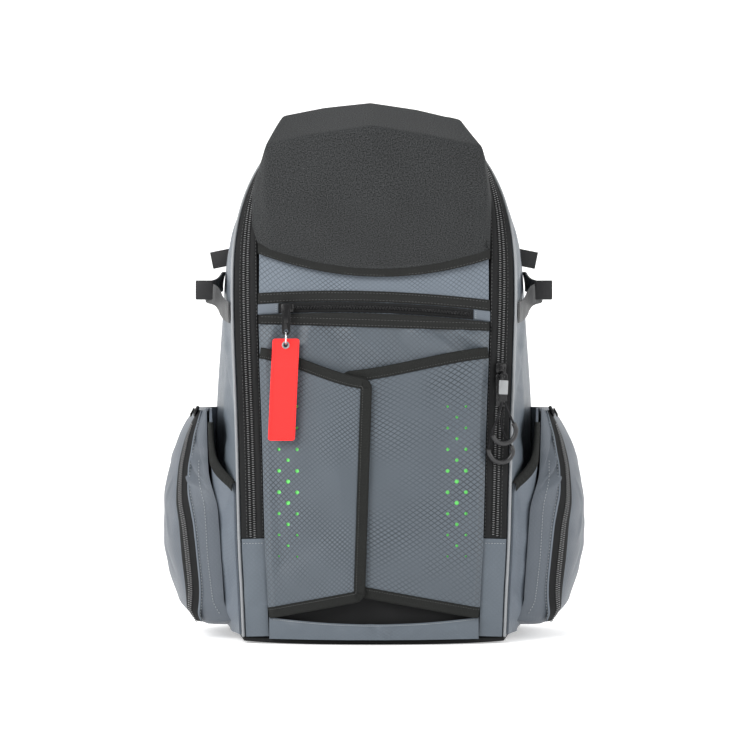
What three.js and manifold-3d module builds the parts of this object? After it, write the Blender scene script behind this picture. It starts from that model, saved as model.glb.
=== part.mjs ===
// A baseball bat backpack, zipped shut and standing on its base.
//
// The bag is a hollow arch of padded cloth between a crowned front door and a flat padded back. A horseshoe zip runs
// up one side of the door, over the top behind a moulded foam cap, and down the other side. The lower door carries a
// flat pocket behind two perforated flaps. Each side has an open bat sleeve with a zipped ball pocket on it, and a
// webbing loop above for the bat's handle. Shoulder straps and a grab handle are on the back.
//
// Units are millimetres. +Z is up, the front faces -Y, and the origin is the middle of the base's underside.

import * as THREE from "three";
import { mergeVertices } from "three/addons/utils/BufferGeometryUtils.js";
import Module from "manifold-3d";

const wasm = await Module();
wasm.setup();

// Main sizes of the bag
const baseThickness = 5;
const archHeight = 500;
const doorWidth = 220;
const rearWidth = 320;
const frontReach = 88;
const rearReach = 95;
const doorCrown = 8;
const zipBandWidth = 22;
const wallThickness = 3;
const sideCrown = 2;
const backPanelThickness = 6;
const panelThickness = 2.5;

// Clearances between pieces that are sewn or lie on each other
const seamGap = 0.3;
const edgeGap = 0.6;

const half = 0.5;
const quarterTurn = Math.PI / 2;

// The bag's outline, a row for each level from the base up to the top of the arch. door and rear are shares of the
// half widths, doorUp and rearUp shares of archHeight, reach a share of frontReach, and turn the degrees that the
// zip band has turned from facing forward to facing up.
const outline = [
  { door: 0.898, doorUp: 0.015, rear: 0.912, rearUp: 0.015, reach: 1.0, turn: 10 },
  { door: 0.914, doorUp: 0.1, rear: 0.944, rearUp: 0.1, reach: 1.0, turn: 10 },
  { door: 0.936, doorUp: 0.2, rear: 0.978, rearUp: 0.21, reach: 1.0, turn: 10 },
  { door: 0.959, doorUp: 0.4, rear: 1.0, rearUp: 0.4, reach: 1.0, turn: 10 },
  { door: 0.991, doorUp: 0.594, rear: 0.966, rearUp: 0.594, reach: 1.0, turn: 10 },
  { door: 1.0, doorUp: 0.7, rear: 0.938, rearUp: 0.704, reach: 0.966, turn: 14 },
  { door: 1.0, doorUp: 0.77, rear: 0.891, rearUp: 0.772, reach: 0.898, turn: 28 },
  { door: 0.986, doorUp: 0.84, rear: 0.825, rearUp: 0.84, reach: 0.773, turn: 50 },
  { door: 0.945, doorUp: 0.894, rear: 0.738, rearUp: 0.892, reach: 0.636, turn: 68 },
  { door: 0.864, doorUp: 0.934, rear: 0.619, rearUp: 0.93, reach: 0.5, turn: 78 },
  { door: 0.709, doorUp: 0.968, rear: 0.456, rearUp: 0.958, reach: 0.352, turn: 84 },
  { door: 0.436, doorUp: 0.992, rear: 0.25, rearUp: 0.972, reach: 0.227, turn: 86 },
  { door: 0.0, doorUp: 1.0, rear: 0.0, rearUp: 0.976, reach: 0.182, turn: 86 },
];
const topRow = outline.length - 1;
const wholeArch = 2 * topRow;

const lerp = THREE.MathUtils.lerp;
const clamp = THREE.MathUtils.clamp;
const vec = (x, y, z) => new THREE.Vector3(x, y, z);

// Rises smoothly from 0 where x is at or under from, to 1 where it is at or over to.
function ease(x, from, to) {
  const t = clamp((x - from) / (to - from), 0, 1);
  return t * t * (3 - 2 * t);
}

// count + 1 evenly spaced values from a to b.
function steps(a, b, count) {
  return Array.from({ length: count + 1 }, (_, i) => lerp(a, b, i / count));
}

// One column of a table at a value of its key column, on a smooth curve through the rows.
function lookUp(table, key, name, at) {
  const x = clamp(at, table[0][key], table[table.length - 1][key]);
  let i = table.findIndex((row) => row[key] >= x);
  i = Math.max(i - 1, 0);
  const slope = (a, b) => (table[b][name] - table[a][name]) / (table[b][key] - table[a][key]);
  const last = table.length - 1;
  const before = slope(Math.max(i - 1, 0), Math.min(i + 1, last));
  const after = slope(i, Math.min(i + 2, last));
  const span = table[i + 1][key] - table[i][key];
  const t = (x - table[i][key]) / span;
  const [p, q] = [table[i][name], table[i + 1][name]];
  return (
    p * (1 + 2 * t) * (1 - t) ** 2 +
    before * span * t * (1 - t) ** 2 +
    q * t * t * (3 - 2 * t) +
    after * span * t * t * (t - 1)
  );
}

// The value of x in [low, high] where the rising function f reaches target.
function solve(f, target, low, high) {
  for (let i = 0; i < 40; i++) {
    const middle = (low + high) / 2;
    if (f(middle) < target) low = middle;
    else high = middle;
  }
  return (low + high) / 2;
}

// A column of the outline at row t, on a smooth curve through the rows. Past the top row the other half of the arch
// follows, where half widths change sign.
function outlineAt(name, t) {
  const value = (i) => {
    if (i < 0) return 2 * outline[0][name] - outline[-i][name];
    if (i <= topRow) return outline[i][name];
    const mirrored = outline[wholeArch - i][name];
    return name === "door" || name === "rear" ? -mirrored : mirrored;
  };
  const i = Math.min(Math.floor(t), topRow - 1);
  const f = t - i;
  const [a, b, c, d] = [value(i - 1), value(i), value(i + 1), value(i + 2)];
  return b + 0.5 * f * (c - a + f * (2 * a - 5 * b + 4 * c - d + f * (3 * (b - c) + d - a)));
}

// Places on the arch are given by s, from 0 at the left foot over topRow at the top to wholeArch at the right foot.
const rowOf = (s) => (s <= topRow ? s : wholeArch - s);
const sideOf = (s) => (s <= topRow ? -1 : 1);

function doorEdge(s) {
  const t = rowOf(s);
  return vec(
    (sideOf(s) * outlineAt("door", t) * doorWidth) / 2,
    -outlineAt("reach", t) * frontReach,
    outlineAt("doorUp", t) * archHeight,
  );
}

function rearEdge(s) {
  const t = rowOf(s);
  return vec(
    (sideOf(s) * outlineAt("rear", t) * rearWidth) / 2,
    rearReach,
    outlineAt("rearUp", t) * archHeight,
  );
}

// The outward direction of the arch at s, seen from the front.
function outwards(s) {
  const nudge = 0.05;
  const along = doorEdge(s + nudge).sub(doorEdge(s - nudge));
  return vec(-along.z, 0, along.x).normalize();
}

// The zip band's direction across its width, and the way it faces.
function bandAxes(s) {
  const turn = THREE.MathUtils.degToRad(outlineAt("turn", rowOf(s)));
  const out = outwards(s);
  const across = out.clone().multiplyScalar(Math.cos(turn)).add(vec(0, Math.sin(turn), 0));
  const facing = out.clone().multiplyScalar(Math.sin(turn)).add(vec(0, -Math.cos(turn), 0));
  return { across, facing };
}

// A point on the zip band, width mm out from the door's edge and lift mm off its surface.
function bandPoint(s, width, lift) {
  const { across, facing } = bandAxes(s);
  return doorEdge(s).addScaledVector(across, width).addScaledVector(facing, lift);
}

const pipingRadius = 1.75;
const pipingGap = 0.9;
const pipingCentre = (s) => bandPoint(s, zipBandWidth + pipingRadius + pipingGap, 0);
const wallFront = (s) =>
  pipingCentre(s)
    .addScaledVector(outwards(s), 1)
    .add(vec(0, pipingRadius + edgeGap, 0));

// A point on the outside of the body wall, share of the way from its front edge to its rear edge.
function wallPoint(s, share) {
  return wallFront(s)
    .lerp(rearEdge(s).add(vec(0, -edgeGap, 0)), share)
    .addScaledVector(outwards(s), sideCrown * 4 * share * (1 - share));
}

// The row t where the door's edge is at height z, and the door's half width and reach there.
const doorRow = (z) => solve((t) => outlineAt("doorUp", t) * archHeight, z, 0, topRow);
const doorHalf = (z) => (outlineAt("door", doorRow(z)) * doorWidth) / 2;

// The front surface of the door at (x, z), as its y.
function front(x, z) {
  const t = doorRow(z);
  const share = x / ((outlineAt("door", t) * doorWidth) / 2);
  return -outlineAt("reach", t) * frontReach - doorCrown * (1 - share * share);
}
const onFront = (x, z, lift) => vec(x, front(x, z) - lift, z);

// The body wall's outside at (y, z) on the right-hand side, as its x.
function wallSide(y, z) {
  const shareAt = (s) => {
    const near = wallFront(s).y;
    return clamp((y - near) / (rearReach - near), 0, 1);
  };
  const highestRow = 8;
  const t = solve((row) => wallPoint(wholeArch - row, shareAt(wholeArch - row)).z, z, -0.5, highestRow);
  const s = wholeArch - t;
  return wallPoint(s, shareAt(s)).x;
}

// Closed geometry between two grids of points with the same rows and columns.
function between(outer, inner) {
  const rows = outer.length;
  const columns = outer[0].length;
  const points = [...outer.flat(), ...inner.flat()];
  const far = rows * columns;
  const faces = [];
  const quad = (a, b, c, d) => faces.push(a, b, c, a, c, d);
  const at = (r, c) => r * columns + c;
  for (let r = 0; r < rows - 1; r++)
    for (let c = 0; c < columns - 1; c++) {
      const [p, q, v, w] = [at(r, c), at(r, c + 1), at(r + 1, c + 1), at(r + 1, c)];
      quad(p, q, v, w);
      quad(far + p, far + w, far + v, far + q);
    }
  for (let c = 0; c < columns - 1; c++) {
    quad(at(0, c), far + at(0, c), far + at(0, c + 1), at(0, c + 1));
    quad(at(rows - 1, c), at(rows - 1, c + 1), far + at(rows - 1, c + 1), far + at(rows - 1, c));
  }
  for (let r = 0; r < rows - 1; r++) {
    quad(at(r, 0), at(r + 1, 0), far + at(r + 1, 0), far + at(r, 0));
    quad(at(r, columns - 1), far + at(r, columns - 1), far + at(r + 1, columns - 1), at(r + 1, columns - 1));
  }
  return facingOut(points, faces);
}

// Geometry of the points and faces, turned round if its faces point inwards.
function facingOut(points, faces) {
  let volume = 0;
  for (let i = 0; i < faces.length; i += 3)
    volume += points[faces[i]].dot(points[faces[i + 1]].clone().cross(points[faces[i + 2]]));
  if (volume < 0) for (let i = 0; i < faces.length; i += 3) [faces[i], faces[i + 1]] = [faces[i + 1], faces[i]];
  const geometry = new THREE.BufferGeometry();
  geometry.setAttribute("position", new THREE.Float32BufferAttribute(points.flatMap((p) => [p.x, p.y, p.z]), 3));
  geometry.setIndex(faces);
  return geometry;
}

// The averaged unit normal at each point of a grid, on the side that the hint points to.
function normals(grid, hint) {
  return grid.map((row, r) =>
    row.map((point, c) => {
      const down = grid[Math.min(r + 1, grid.length - 1)][c].clone().sub(grid[Math.max(r - 1, 0)][c]);
      const along = row[Math.min(c + 1, row.length - 1)].clone().sub(row[Math.max(c - 1, 0)]);
      const normal = down.cross(along).normalize();
      return normal.dot(hint(point)) < 0 ? normal.negate() : normal;
    }),
  );
}

// A cloth panel: a grid of points on its outer face, thickened inwards, away from the hint.
function panel(grid, thickness, hint) {
  const facing = normals(grid, hint);
  const inner = grid.map((row, r) => row.map((p, c) => p.clone().addScaledVector(facing[r][c], -thickness)));
  return between(grid, inner);
}

// The grid of point(u, v) for each pair of values.
const gridOf = (us, vs, point) => us.map((u) => vs.map((v) => point(u, v)));

// A flat-lying piece on the door, between two lifts off the front surface.
function onDoor(xs, shares, height, low, high) {
  const point = (x, share, lift) => onFront(x, height(x, share), typeof lift === "function" ? lift(x) : lift);
  return between(
    gridOf(xs, shares, (x, share) => point(x, share, high)),
    gridOf(xs, shares, (x, share) => point(x, share, low)),
  );
}

function solidOf(geometry) {
  const bare = geometry.index ? geometry.toNonIndexed() : geometry.clone();
  bare.deleteAttribute("normal");
  bare.deleteAttribute("uv");
  const merged = mergeVertices(bare, 1e-3);
  const mesh = { numProp: 3, vertProperties: merged.attributes.position.array };
  return new wasm.Manifold(new wasm.Mesh({ ...mesh, triVerts: new Uint32Array(merged.index.array) }));
}

function geometryOf(solid) {
  const mesh = solid.getMesh();
  const geometry = new THREE.BufferGeometry();
  geometry.setAttribute("position", new THREE.BufferAttribute(new Float32Array(mesh.vertProperties), 3));
  geometry.setIndex(new THREE.BufferAttribute(new Uint32Array(mesh.triVerts), 1));
  return geometry;
}

// A tube of the given radius along points, as an extrusion of a many-sided section. bore makes it a pipe.
function tube(points, radius, sides, count, bore = 0) {
  const section = new THREE.Shape();
  const ring = (shape, r) =>
    steps(0, 2 * Math.PI, sides)
      .slice(0, -1)
      .forEach((a, i) => shape[i ? "lineTo" : "moveTo"](r * Math.cos(a), r * Math.sin(a)));
  ring(section, radius);
  if (bore) {
    const hole = new THREE.Path();
    ring(hole, bore);
    section.holes.push(hole);
  }
  const path = new THREE.CatmullRomCurve3(points);
  return new THREE.ExtrudeGeometry(section, { steps: count, extrudePath: path });
}

const bag = new THREE.Group();
const material = (color, roughness, metalness = 0) => new THREE.MeshStandardMaterial({ color, roughness, metalness });
const greyCloth = material(0x6f7780, 0.75);
const blackCloth = material(0x2c2d2e, 0.85);
const foamCap = material(0x3a3b3d, 0.9);
const palePiping = material(0xb9bcbf, 0.5);
const blackPlastic = material(0x101011, 0.35);
const silverMetal = material(0xc9cbcd, 0.3, 0.9);
const redCloth = material(0xe23338, 0.7);

function add(name, geometry, finish, parent = bag) {
  const mesh = new THREE.Mesh(geometry, finish);
  mesh.name = name;
  parent.add(mesh);
  return mesh;
}

// The same piece on both sides of the bag. The geometry is that of the right-hand one.
function addPair(name, geometry, finish) {
  add(`${name}_right`, geometry, finish);
  add(`${name}_left`, geometry, finish).scale.x = -1;
}

// Rows of the arch that the long panels are cut at: close together where the arch bends.
const archRows = [2, 3, 4, 5, 6, 6.5, 7, 7.5, 8, 8.5, 9, 9.5, 10, 10.5, 11, 11.5, 12];
const overArch = (rows) => [...rows, ...rows.slice(0, -1).reverse().map((t) => wholeArch - t)];
const wholeArchRows = overArch([0, 1, ...archRows]);
const zipRows = overArch(archRows);
const floorGap = baseThickness + seamGap;

// Base: a stiff black slab under the walls, crowned at the front like the door.
const baseFrontProud = 5;
{
  const foot = wallFront(wholeArch);
  const rear = rearEdge(wholeArch);
  const sides = steps(-1, 1, 12);
  const crown = (share) => foot.y - (doorCrown + baseFrontProud) * (1 - share * share);
  const shape = new THREE.Shape();
  sides.forEach((share, i) => shape[i ? "lineTo" : "moveTo"](share * (foot.x - 1), crown(share)));
  shape.lineTo(rear.x - 1, rear.y - 10);
  shape.quadraticCurveTo(rear.x - 1, rear.y + backPanelThickness, rear.x - 12, rear.y + backPanelThickness);
  shape.lineTo(12 - rear.x, rear.y + backPanelThickness);
  shape.quadraticCurveTo(1 - rear.x, rear.y + backPanelThickness, 1 - rear.x, rear.y - 10);
  add("base", new THREE.ExtrudeGeometry(shape, { depth: baseThickness, bevelEnabled: false, curveSegments: 4 }), blackCloth);
}

// Body wall: one padded arch from the piping back to the rear seam, open at the front, the back and the foot.
const fromAxis = (p) => vec(p.x, 0, p.z - archHeight * half);
{
  const shares = [0, 0.33, 0.67, 1];
  const grid = gridOf(wholeArchRows, shares, (s, share) => {
    const point = wallPoint(s, share);
    point.z = Math.max(point.z, floorGap);
    return point;
  });
  add("body_wall", panel(grid, wallThickness, fromAxis), greyCloth);
}

// Back panel: a padded sheet that closes the arch behind, out to the rear seam.
{
  const outlinePoints = wholeArchRows.map((s) => rearEdge(s));
  const shape = new THREE.Shape();
  outlinePoints.forEach((p, i) => shape[i ? "lineTo" : "moveTo"](p.x, Math.max(p.z, floorGap)));
  const slab = new THREE.ExtrudeGeometry(shape, { depth: backPanelThickness - seamGap, bevelEnabled: false });
  slab.rotateX(quarterTurn);
  slab.translate(0, rearReach + backPanelThickness, 0);
  add("back_panel", slab, blackCloth);
}

// Edge piping: a cord round the front edge of the wall.
{
  const rows = overArch([0, 1, 2, 3, 4, 5, 6, 7, 8, 9, 10, 11, 12]);
  const points = rows.map((s) => pipingCentre(s));
  points.forEach((p) => (p.z = Math.max(p.z, floorGap + pipingRadius)));
  add("edge_piping", tube(points, pipingRadius, 6, 44), palePiping);
}

// Main zip: a tape round the door from heel to heel, with its closed coil as a ridge along the middle.
const tapeThickness = 1.5;
const coilWidth = 7;
const coilHeight = 2;
const onGround = (p) => vec(p.x, p.y, Math.max(p.z, floorGap));
const bandRibbon = (rows, widths, low, high) =>
  between(
    gridOf(rows, widths, (s, width) => onGround(bandPoint(s, width, high))),
    gridOf(rows, widths, (s, width) => onGround(bandPoint(s, width, low))),
  );
const coilEdges = [(zipBandWidth - coilWidth) / 2, (zipBandWidth + coilWidth) / 2];
const tapeWidths = [0, ...coilEdges, zipBandWidth];
add("main_zip_tape", bandRibbon(zipRows, tapeWidths, -tapeThickness, 0), blackCloth);
add("main_zip_coil", bandRibbon(zipRows, coilEdges, seamGap, seamGap + coilHeight), blackPlastic);

// Heel panels: plain cloth below each end of the main zip, down to the base.
{
  const footEnd = zipRows[0] - 0.01;
  const rows = [0, 0.7, 1.4, footEnd].map((t) => wholeArch - t);
  addPair("heel_panel", bandRibbon(rows, [0, zipBandWidth], -panelThickness, 1), greyCloth);
}

// Levels on the door. The front zip dips towards the right, as it hangs on the real bag.
const hemHeight = 346;
const hemRise = 19;
const hemBinding = 9;
const stripDrop = 14.4;
const zipTopHeight = hemHeight - stripDrop;
const zipTilt = 3.3;
const zipSag = 4.9;
const topBandHeight = 10.3;
const frontZipHeight = 10.3;
const lowerBandHeight = 8.5;
const lowerBandDip = 5;
const liningDrop = 43.6;
const liningTop = zipTopHeight - liningDrop;
const share2 = (x) => (x / (doorWidth * half)) ** 2;
const hem = (x) => hemHeight + hemRise * share2(x);
const zipTop = (x) => zipTopHeight - (zipTilt * x) / (doorWidth * half) - zipSag * share2(x);
const doorXs = (z, count, inset = edgeGap) => steps(inset - doorHalf(z), doorHalf(z) - inset, count);
const ends = [0, 1];

// Upper panel: ripstop cloth from behind the cap's hem down to the lining's seam.
const hemTuck = 0.5;
add(
  "upper_panel",
  onDoor(
    steps(edgeGap - doorHalf(liningTop), doorHalf(liningTop) - edgeGap, 16),
    [0, 0.35, 0.7, 1],
    (x, share) => lerp(liningTop + seamGap, hem(x) + hemBinding - hemTuck, share),
    -panelThickness,
    0,
  ),
  greyCloth,
);

// Pocket lining: the black cloth of the lower door, behind the flaps.
{
  const zs = [floorGap, ...[0.12, 0.33, 0.67, 1].map((share) => lerp(floorGap, liningTop, share))];
  const grid = (lift) =>
    gridOf(steps(-1, 1, 12), zs, (share, z) => onFront(share * (doorHalf(z) - edgeGap), z, lift));
  add("pocket_lining", between(grid(0), grid(-panelThickness)), blackCloth);
}

// Cap: a faceted shell of moulded foam over the top of the door. Its edge follows the door's edge at the rows named
// here, and the inner points are shares of the door's half width, frontReach and archHeight.
const capThickness = 4;
const capLift = seamGap + 0.1;
const capEdgeGap = 1.4;
const capHemGap = 1.3;
const capEdgeRows = { hem: 5.5, brow: 7, crease: 8, ridge: 8.8, rear: 9.2 };
const capRearRows = { side: 10.2, middle: 11.2, centre: 12 };
const capPoints = [
  { level: "brow", side: [0.945, 1.034, 0.84], middle: [0.5, 1.114, 0.836], centre: [0, 1.136, 0.832] },
  { level: "crease", side: [0.923, 0.932, 0.928], middle: [0.491, 1.011, 0.944], centre: [0, 1.045, 0.958] },
  { level: "ridge", side: [0.764, 0.432, 0.998], middle: [0.4, 0.375, 1.018], centre: [0, 0.341, 1.032] },
];
const capEdgeLift = 3;
const capSideShare = 0.965;
const capMiddleShare = 0.527;
{
  const onEdge = (t) => bandPoint(wholeArch - t, -capEdgeGap, capEdgeLift);
  const onHem = (share) => {
    const x = share * (doorHalf(hem(share * doorWidth * half)) - capEdgeGap);
    return onFront(x, hem(x) + hemBinding + capHemGap, capLift + capThickness);
  };
  const hemRow = [1, capSideShare, capMiddleShare, 0].map(onHem);
  const innerRows = capPoints.map((row) => [
    onEdge(capEdgeRows[row.level]),
    ...[row.side, row.middle, row.centre].map(([x, y, z]) =>
      vec(x * doorWidth * half, -y * frontReach, z * archHeight),
    ),
  ]);
  const rearRow = [capEdgeRows.rear, capRearRows.side, capRearRows.middle, capRearRows.centre].map(onEdge);
  const rightHalf = [hemRow, ...innerRows, rearRow];
  const grid = rightHalf.map((row) => {
    const left = row.slice(0, -1).map((p) => vec(-p.x, p.y, p.z));
    return [...left, ...row.slice().reverse()];
  });
  add("cap_shell", panel(refined(grid), capThickness, (p) => vec(p.x * 0.3, -60, p.z - archHeight * 0.85)), foamCap);
}

// A grid with a point added in the middle of each edge and face.
function refined(grid) {
  const midRow = (row) => row.flatMap((p, i) => (i ? [row[i - 1].clone().lerp(p, half), p] : [p]));
  const wide = grid.map(midRow);
  return wide.flatMap((row, r) => (r ? [wide[r - 1].map((p, c) => p.clone().lerp(row[c], half)), row] : [row]));
}

// Cap binding: grosgrain tape round the cap's hem.
const hemXs = steps(-1, 1, 20).map((share) => share * (doorHalf(hemHeight) - edgeGap));
add(
  "cap_binding",
  onDoor(hemXs, ends, (x, share) => hem(x) + hemBinding * share, capLift, capLift + capThickness + edgeGap),
  blackCloth,
);

// Front zip: two bands of grosgrain with the tape between them, and a cloth tab over each end.
const bandThickness = 1.7;
const frontZipInset = { left: 20.6, right: 16.7 };
const frontZipFrom = frontZipInset.left - doorWidth * half;
const frontZipTo = doorWidth * half - frontZipInset.right;
const bandXs = doorXs(zipTopHeight, 16);
const zipSlot = (x, share) => zipTop(x) - topBandHeight - frontZipHeight * share;
add(
  "top_band",
  onDoor(bandXs, ends, (x, share) => zipTop(x) - topBandHeight * share, seamGap, seamGap + bandThickness),
  blackCloth,
);
add(
  "front_zip_tape",
  onDoor(
    steps(frontZipFrom, frontZipTo, 12),
    ends,
    (x, share) => zipSlot(x, lerp(0.04, 0.96, share)),
    seamGap,
    seamGap + 1,
  ),
  blackCloth,
);
add(
  "front_zip_coil",
  onDoor(
    steps(frontZipFrom + 2, frontZipTo - 2, 12),
    ends,
    (x, share) => zipSlot(x, lerp(0.28, 0.72, share)),
    2 * seamGap + 1,
    2 * seamGap + 1 + coilHeight,
  ),
  blackPlastic,
);
const tabXs = {
  left: steps(edgeGap - doorHalf(zipTopHeight), frontZipFrom - edgeGap, 2),
  right: steps(frontZipTo + edgeGap, doorHalf(zipTopHeight) - edgeGap, 2),
};
for (const [side, xs] of Object.entries(tabXs))
  add(
    `zip_tab_${side}`,
    onDoor(xs, ends, (x, share) => zipSlot(x, lerp(0.04, 0.96, share)), seamGap, seamGap + 1.5),
    greyCloth,
  );
const lowerBandLift = 3.4;
const lowerBandFoot = (x) => zipSlot(x, 1) - lowerBandHeight - lowerBandDip * (1 - share2(x));
add(
  "lower_band",
  onDoor(
    doorXs(zipTopHeight - 20, 16),
    ends,
    (x, share) => lerp(lowerBandFoot(x), zipSlot(x, 1) - seamGap, share),
    lowerBandLift,
    lowerBandLift + bandThickness,
  ),
  blackCloth,
);

// Zip pocket panel: slack ripstop from the lower band down behind the flaps.
const pocketPanelDrop = 93.6;
const pocketPanelFoot = zipTopHeight - pocketPanelDrop;
add(
  "zip_pocket_panel",
  onDoor(
    doorXs(pocketPanelFoot, 16, 1),
    [0, 0.33, 0.66, 1],
    (x, share) => lerp(pocketPanelFoot, lowerBandFoot(x) + lowerBandHeight * half, share),
    1,
    lowerBandLift - 2 * seamGap,
  ),
  greyCloth,
);

// Flaps: two padded panels sewn to the door's sides that meet in the middle, the left over the right. Each has
// punched holes in a strip near its seam, and tape round its three free edges.
const flapThickness = 4;
const flapSeamLift = 7.6;
const flapBinding = 10.5;
const flapCornerGap = 0.4;
const flapDrop = 62.1;
const flapTopSeam = zipTopHeight - flapDrop;
const flapBottomSeam = 37;
const leftFlapLift = 15;
const rightFlapLift = 9.2;
const flapSeamInset = 1.6;
const flapLift = (x, seam, reachTo, lift) =>
  lerp(flapSeamLift, lift, ease(Math.abs(x - seam), 0, Math.abs(reachTo - seam)));
// Each flap's cloth: seam is the side of its sewn edge, the free edge runs from freeTop to freeFoot, and topDrop and
// footRise are how far its upper edge falls and its lower edge rises on the way there. holes is how far the middle
// column of holes lies from the door's widest edge.
const flaps = {
  left: { seam: -1, freeTop: -12.5, freeFoot: -18.8, topDrop: 30.5, footRise: 14, lift: leftFlapLift, holes: 29.6 },
  right: { seam: 1, freeTop: -9, freeFoot: -9, topDrop: 21, footRise: 18, lift: rightFlapLift, holes: 32.5 },
};
const holeStrip = { columnGap: 8.6, pitch: 20.05, rows: 8, radius: 1.5, drop: 46 };
function flapEdges(flap) {
  const seamX = (z) => flap.seam * (doorHalf(z) - flapSeamInset);
  const freeX = (share) => lerp(flap.freeFoot, flap.freeTop, share);
  const point = (u, v) => {
    const x = lerp(seamX(lerp(flapBottomSeam, flapTopSeam, v)), freeX(v), u);
    const run = ease(u, -0.15, 1.15);
    const top = flapTopSeam - flap.topDrop * run;
    const foot = flapBottomSeam + flap.footRise * u;
    return { x, z: lerp(foot, top, v) };
  };
  return point;
}
const liftOf = (flap) => (x) => flapLift(x, flap.seam * doorWidth * half, 0, flap.lift);
function flapHoles() {
  const { columnGap, pitch, rows, radius, drop } = holeStrip;
  const columns = [
    { dx: -columnGap, first: 0, count: rows },
    { dx: 0, first: half, count: rows - 1 },
    { dx: columnGap, first: 0, count: rows },
  ];
  return columns.flatMap(({ dx, first, count }) =>
    steps(0, count - 1, count - 1).map((i) => ({ dx, z: flapTopSeam - drop - pitch * (first + i), radius })),
  );
}
for (const [side, flap] of Object.entries(flaps)) {
  const point = flapEdges(flap);
  const lift = liftOf(flap);
  const us = steps(0, 1, 8);
  const vs = steps(0, 1, 5);
  const layer = (raise) =>
    gridOf(us, vs, (u, v) => {
      const { x, z } = point(u, v);
      return onFront(x, z, lift(x) + raise);
    });
  let cloth = solidOf(between(layer(0), layer(-flapThickness)));
  for (const hole of flapHoles()) {
    const x = flap.seam * (doorWidth * half - flap.holes - hole.dx);
    const punch = new THREE.CylinderGeometry(hole.radius, hole.radius, 40, 5);
    punch.translate(x, front(x, hole.z) - lift(x), hole.z);
    cloth = cloth.subtract(solidOf(punch));
  }
  add(`${side}_flap`, geometryOf(cloth), greyCloth);

  // The tape's path along the three free edges, as points with the outward directions that it is offset by.
  const path = [];
  const direction = (from, to) => {
    const length = Math.hypot(to.x - from.x, to.z - from.z);
    const turn = flap.seam < 0 ? 1 : -1;
    return { x: (-turn * (to.z - from.z)) / length, z: (turn * (to.x - from.x)) / length };
  };
  const run = (places) => places.map(([u, v]) => point(u, v));
  const edges = [
    run(us.map((u) => [u, 1])),
    run(vs.map((v) => [1, 1 - v])),
    run(us.map((u) => [1 - u, 0])),
  ];
  const cornerSteps = 4;
  edges.forEach((edge, e) => {
    edge.forEach((p, i) => {
      const n = direction(edge[Math.max(i - 1, 0)], edge[Math.min(i + 1, edge.length - 1)]);
      path.push({ p, n });
    });
    if (e < edges.length - 1) {
      const a = path[path.length - 1].n;
      const b = direction(edges[e + 1][0], edges[e + 1][1]);
      const corner = edge[edge.length - 1];
      steps(0, 1, cornerSteps)
        .slice(1, -1)
        .forEach((share) => {
          const n = { x: lerp(a.x, b.x, share), z: lerp(a.z, b.z, share) };
          const length = Math.hypot(n.x, n.z);
          path.push({ p: corner, n: { x: n.x / length, z: n.z / length } });
        });
    }
  });
  const tape = (raise) =>
    path.map(({ p, n }) =>
      [flapCornerGap, flapCornerGap + flapBinding].map((out) => {
        const x = clamp(p.x + n.x * out, edgeGap - doorHalf(p.z), doorHalf(p.z) - edgeGap);
        return onFront(x, p.z + n.z * out, lift(x) + raise);
      }),
    );
  add(`${side}_flap_binding`, between(tape(half), tape(-flapThickness - half)), blackCloth);
}

// Pocket lip: a low cloth wall in front of the lining's foot, slack in the middle.
const lipHeight = 20;
const lipRise = 7;
const lipLift = 8;
const lipSeamLift = 3;
const lipThickness = 2;
{
  const lift = (x) => lerp(lipLift, lipSeamLift, Math.min(share2(x) * 1.2, 1));
  const xs = steps(1 - doorHalf(floorGap), doorHalf(floorGap) - 1, 14);
  add(
    "pocket_lip",
    onDoor(
      xs,
      [0, 0.5, 1],
      (x, share) => lerp(floorGap, lipHeight + lipRise * share2(x), share),
      (x) => lift(x) - lipThickness,
      lift,
    ),
    greyCloth,
  );
}

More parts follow.
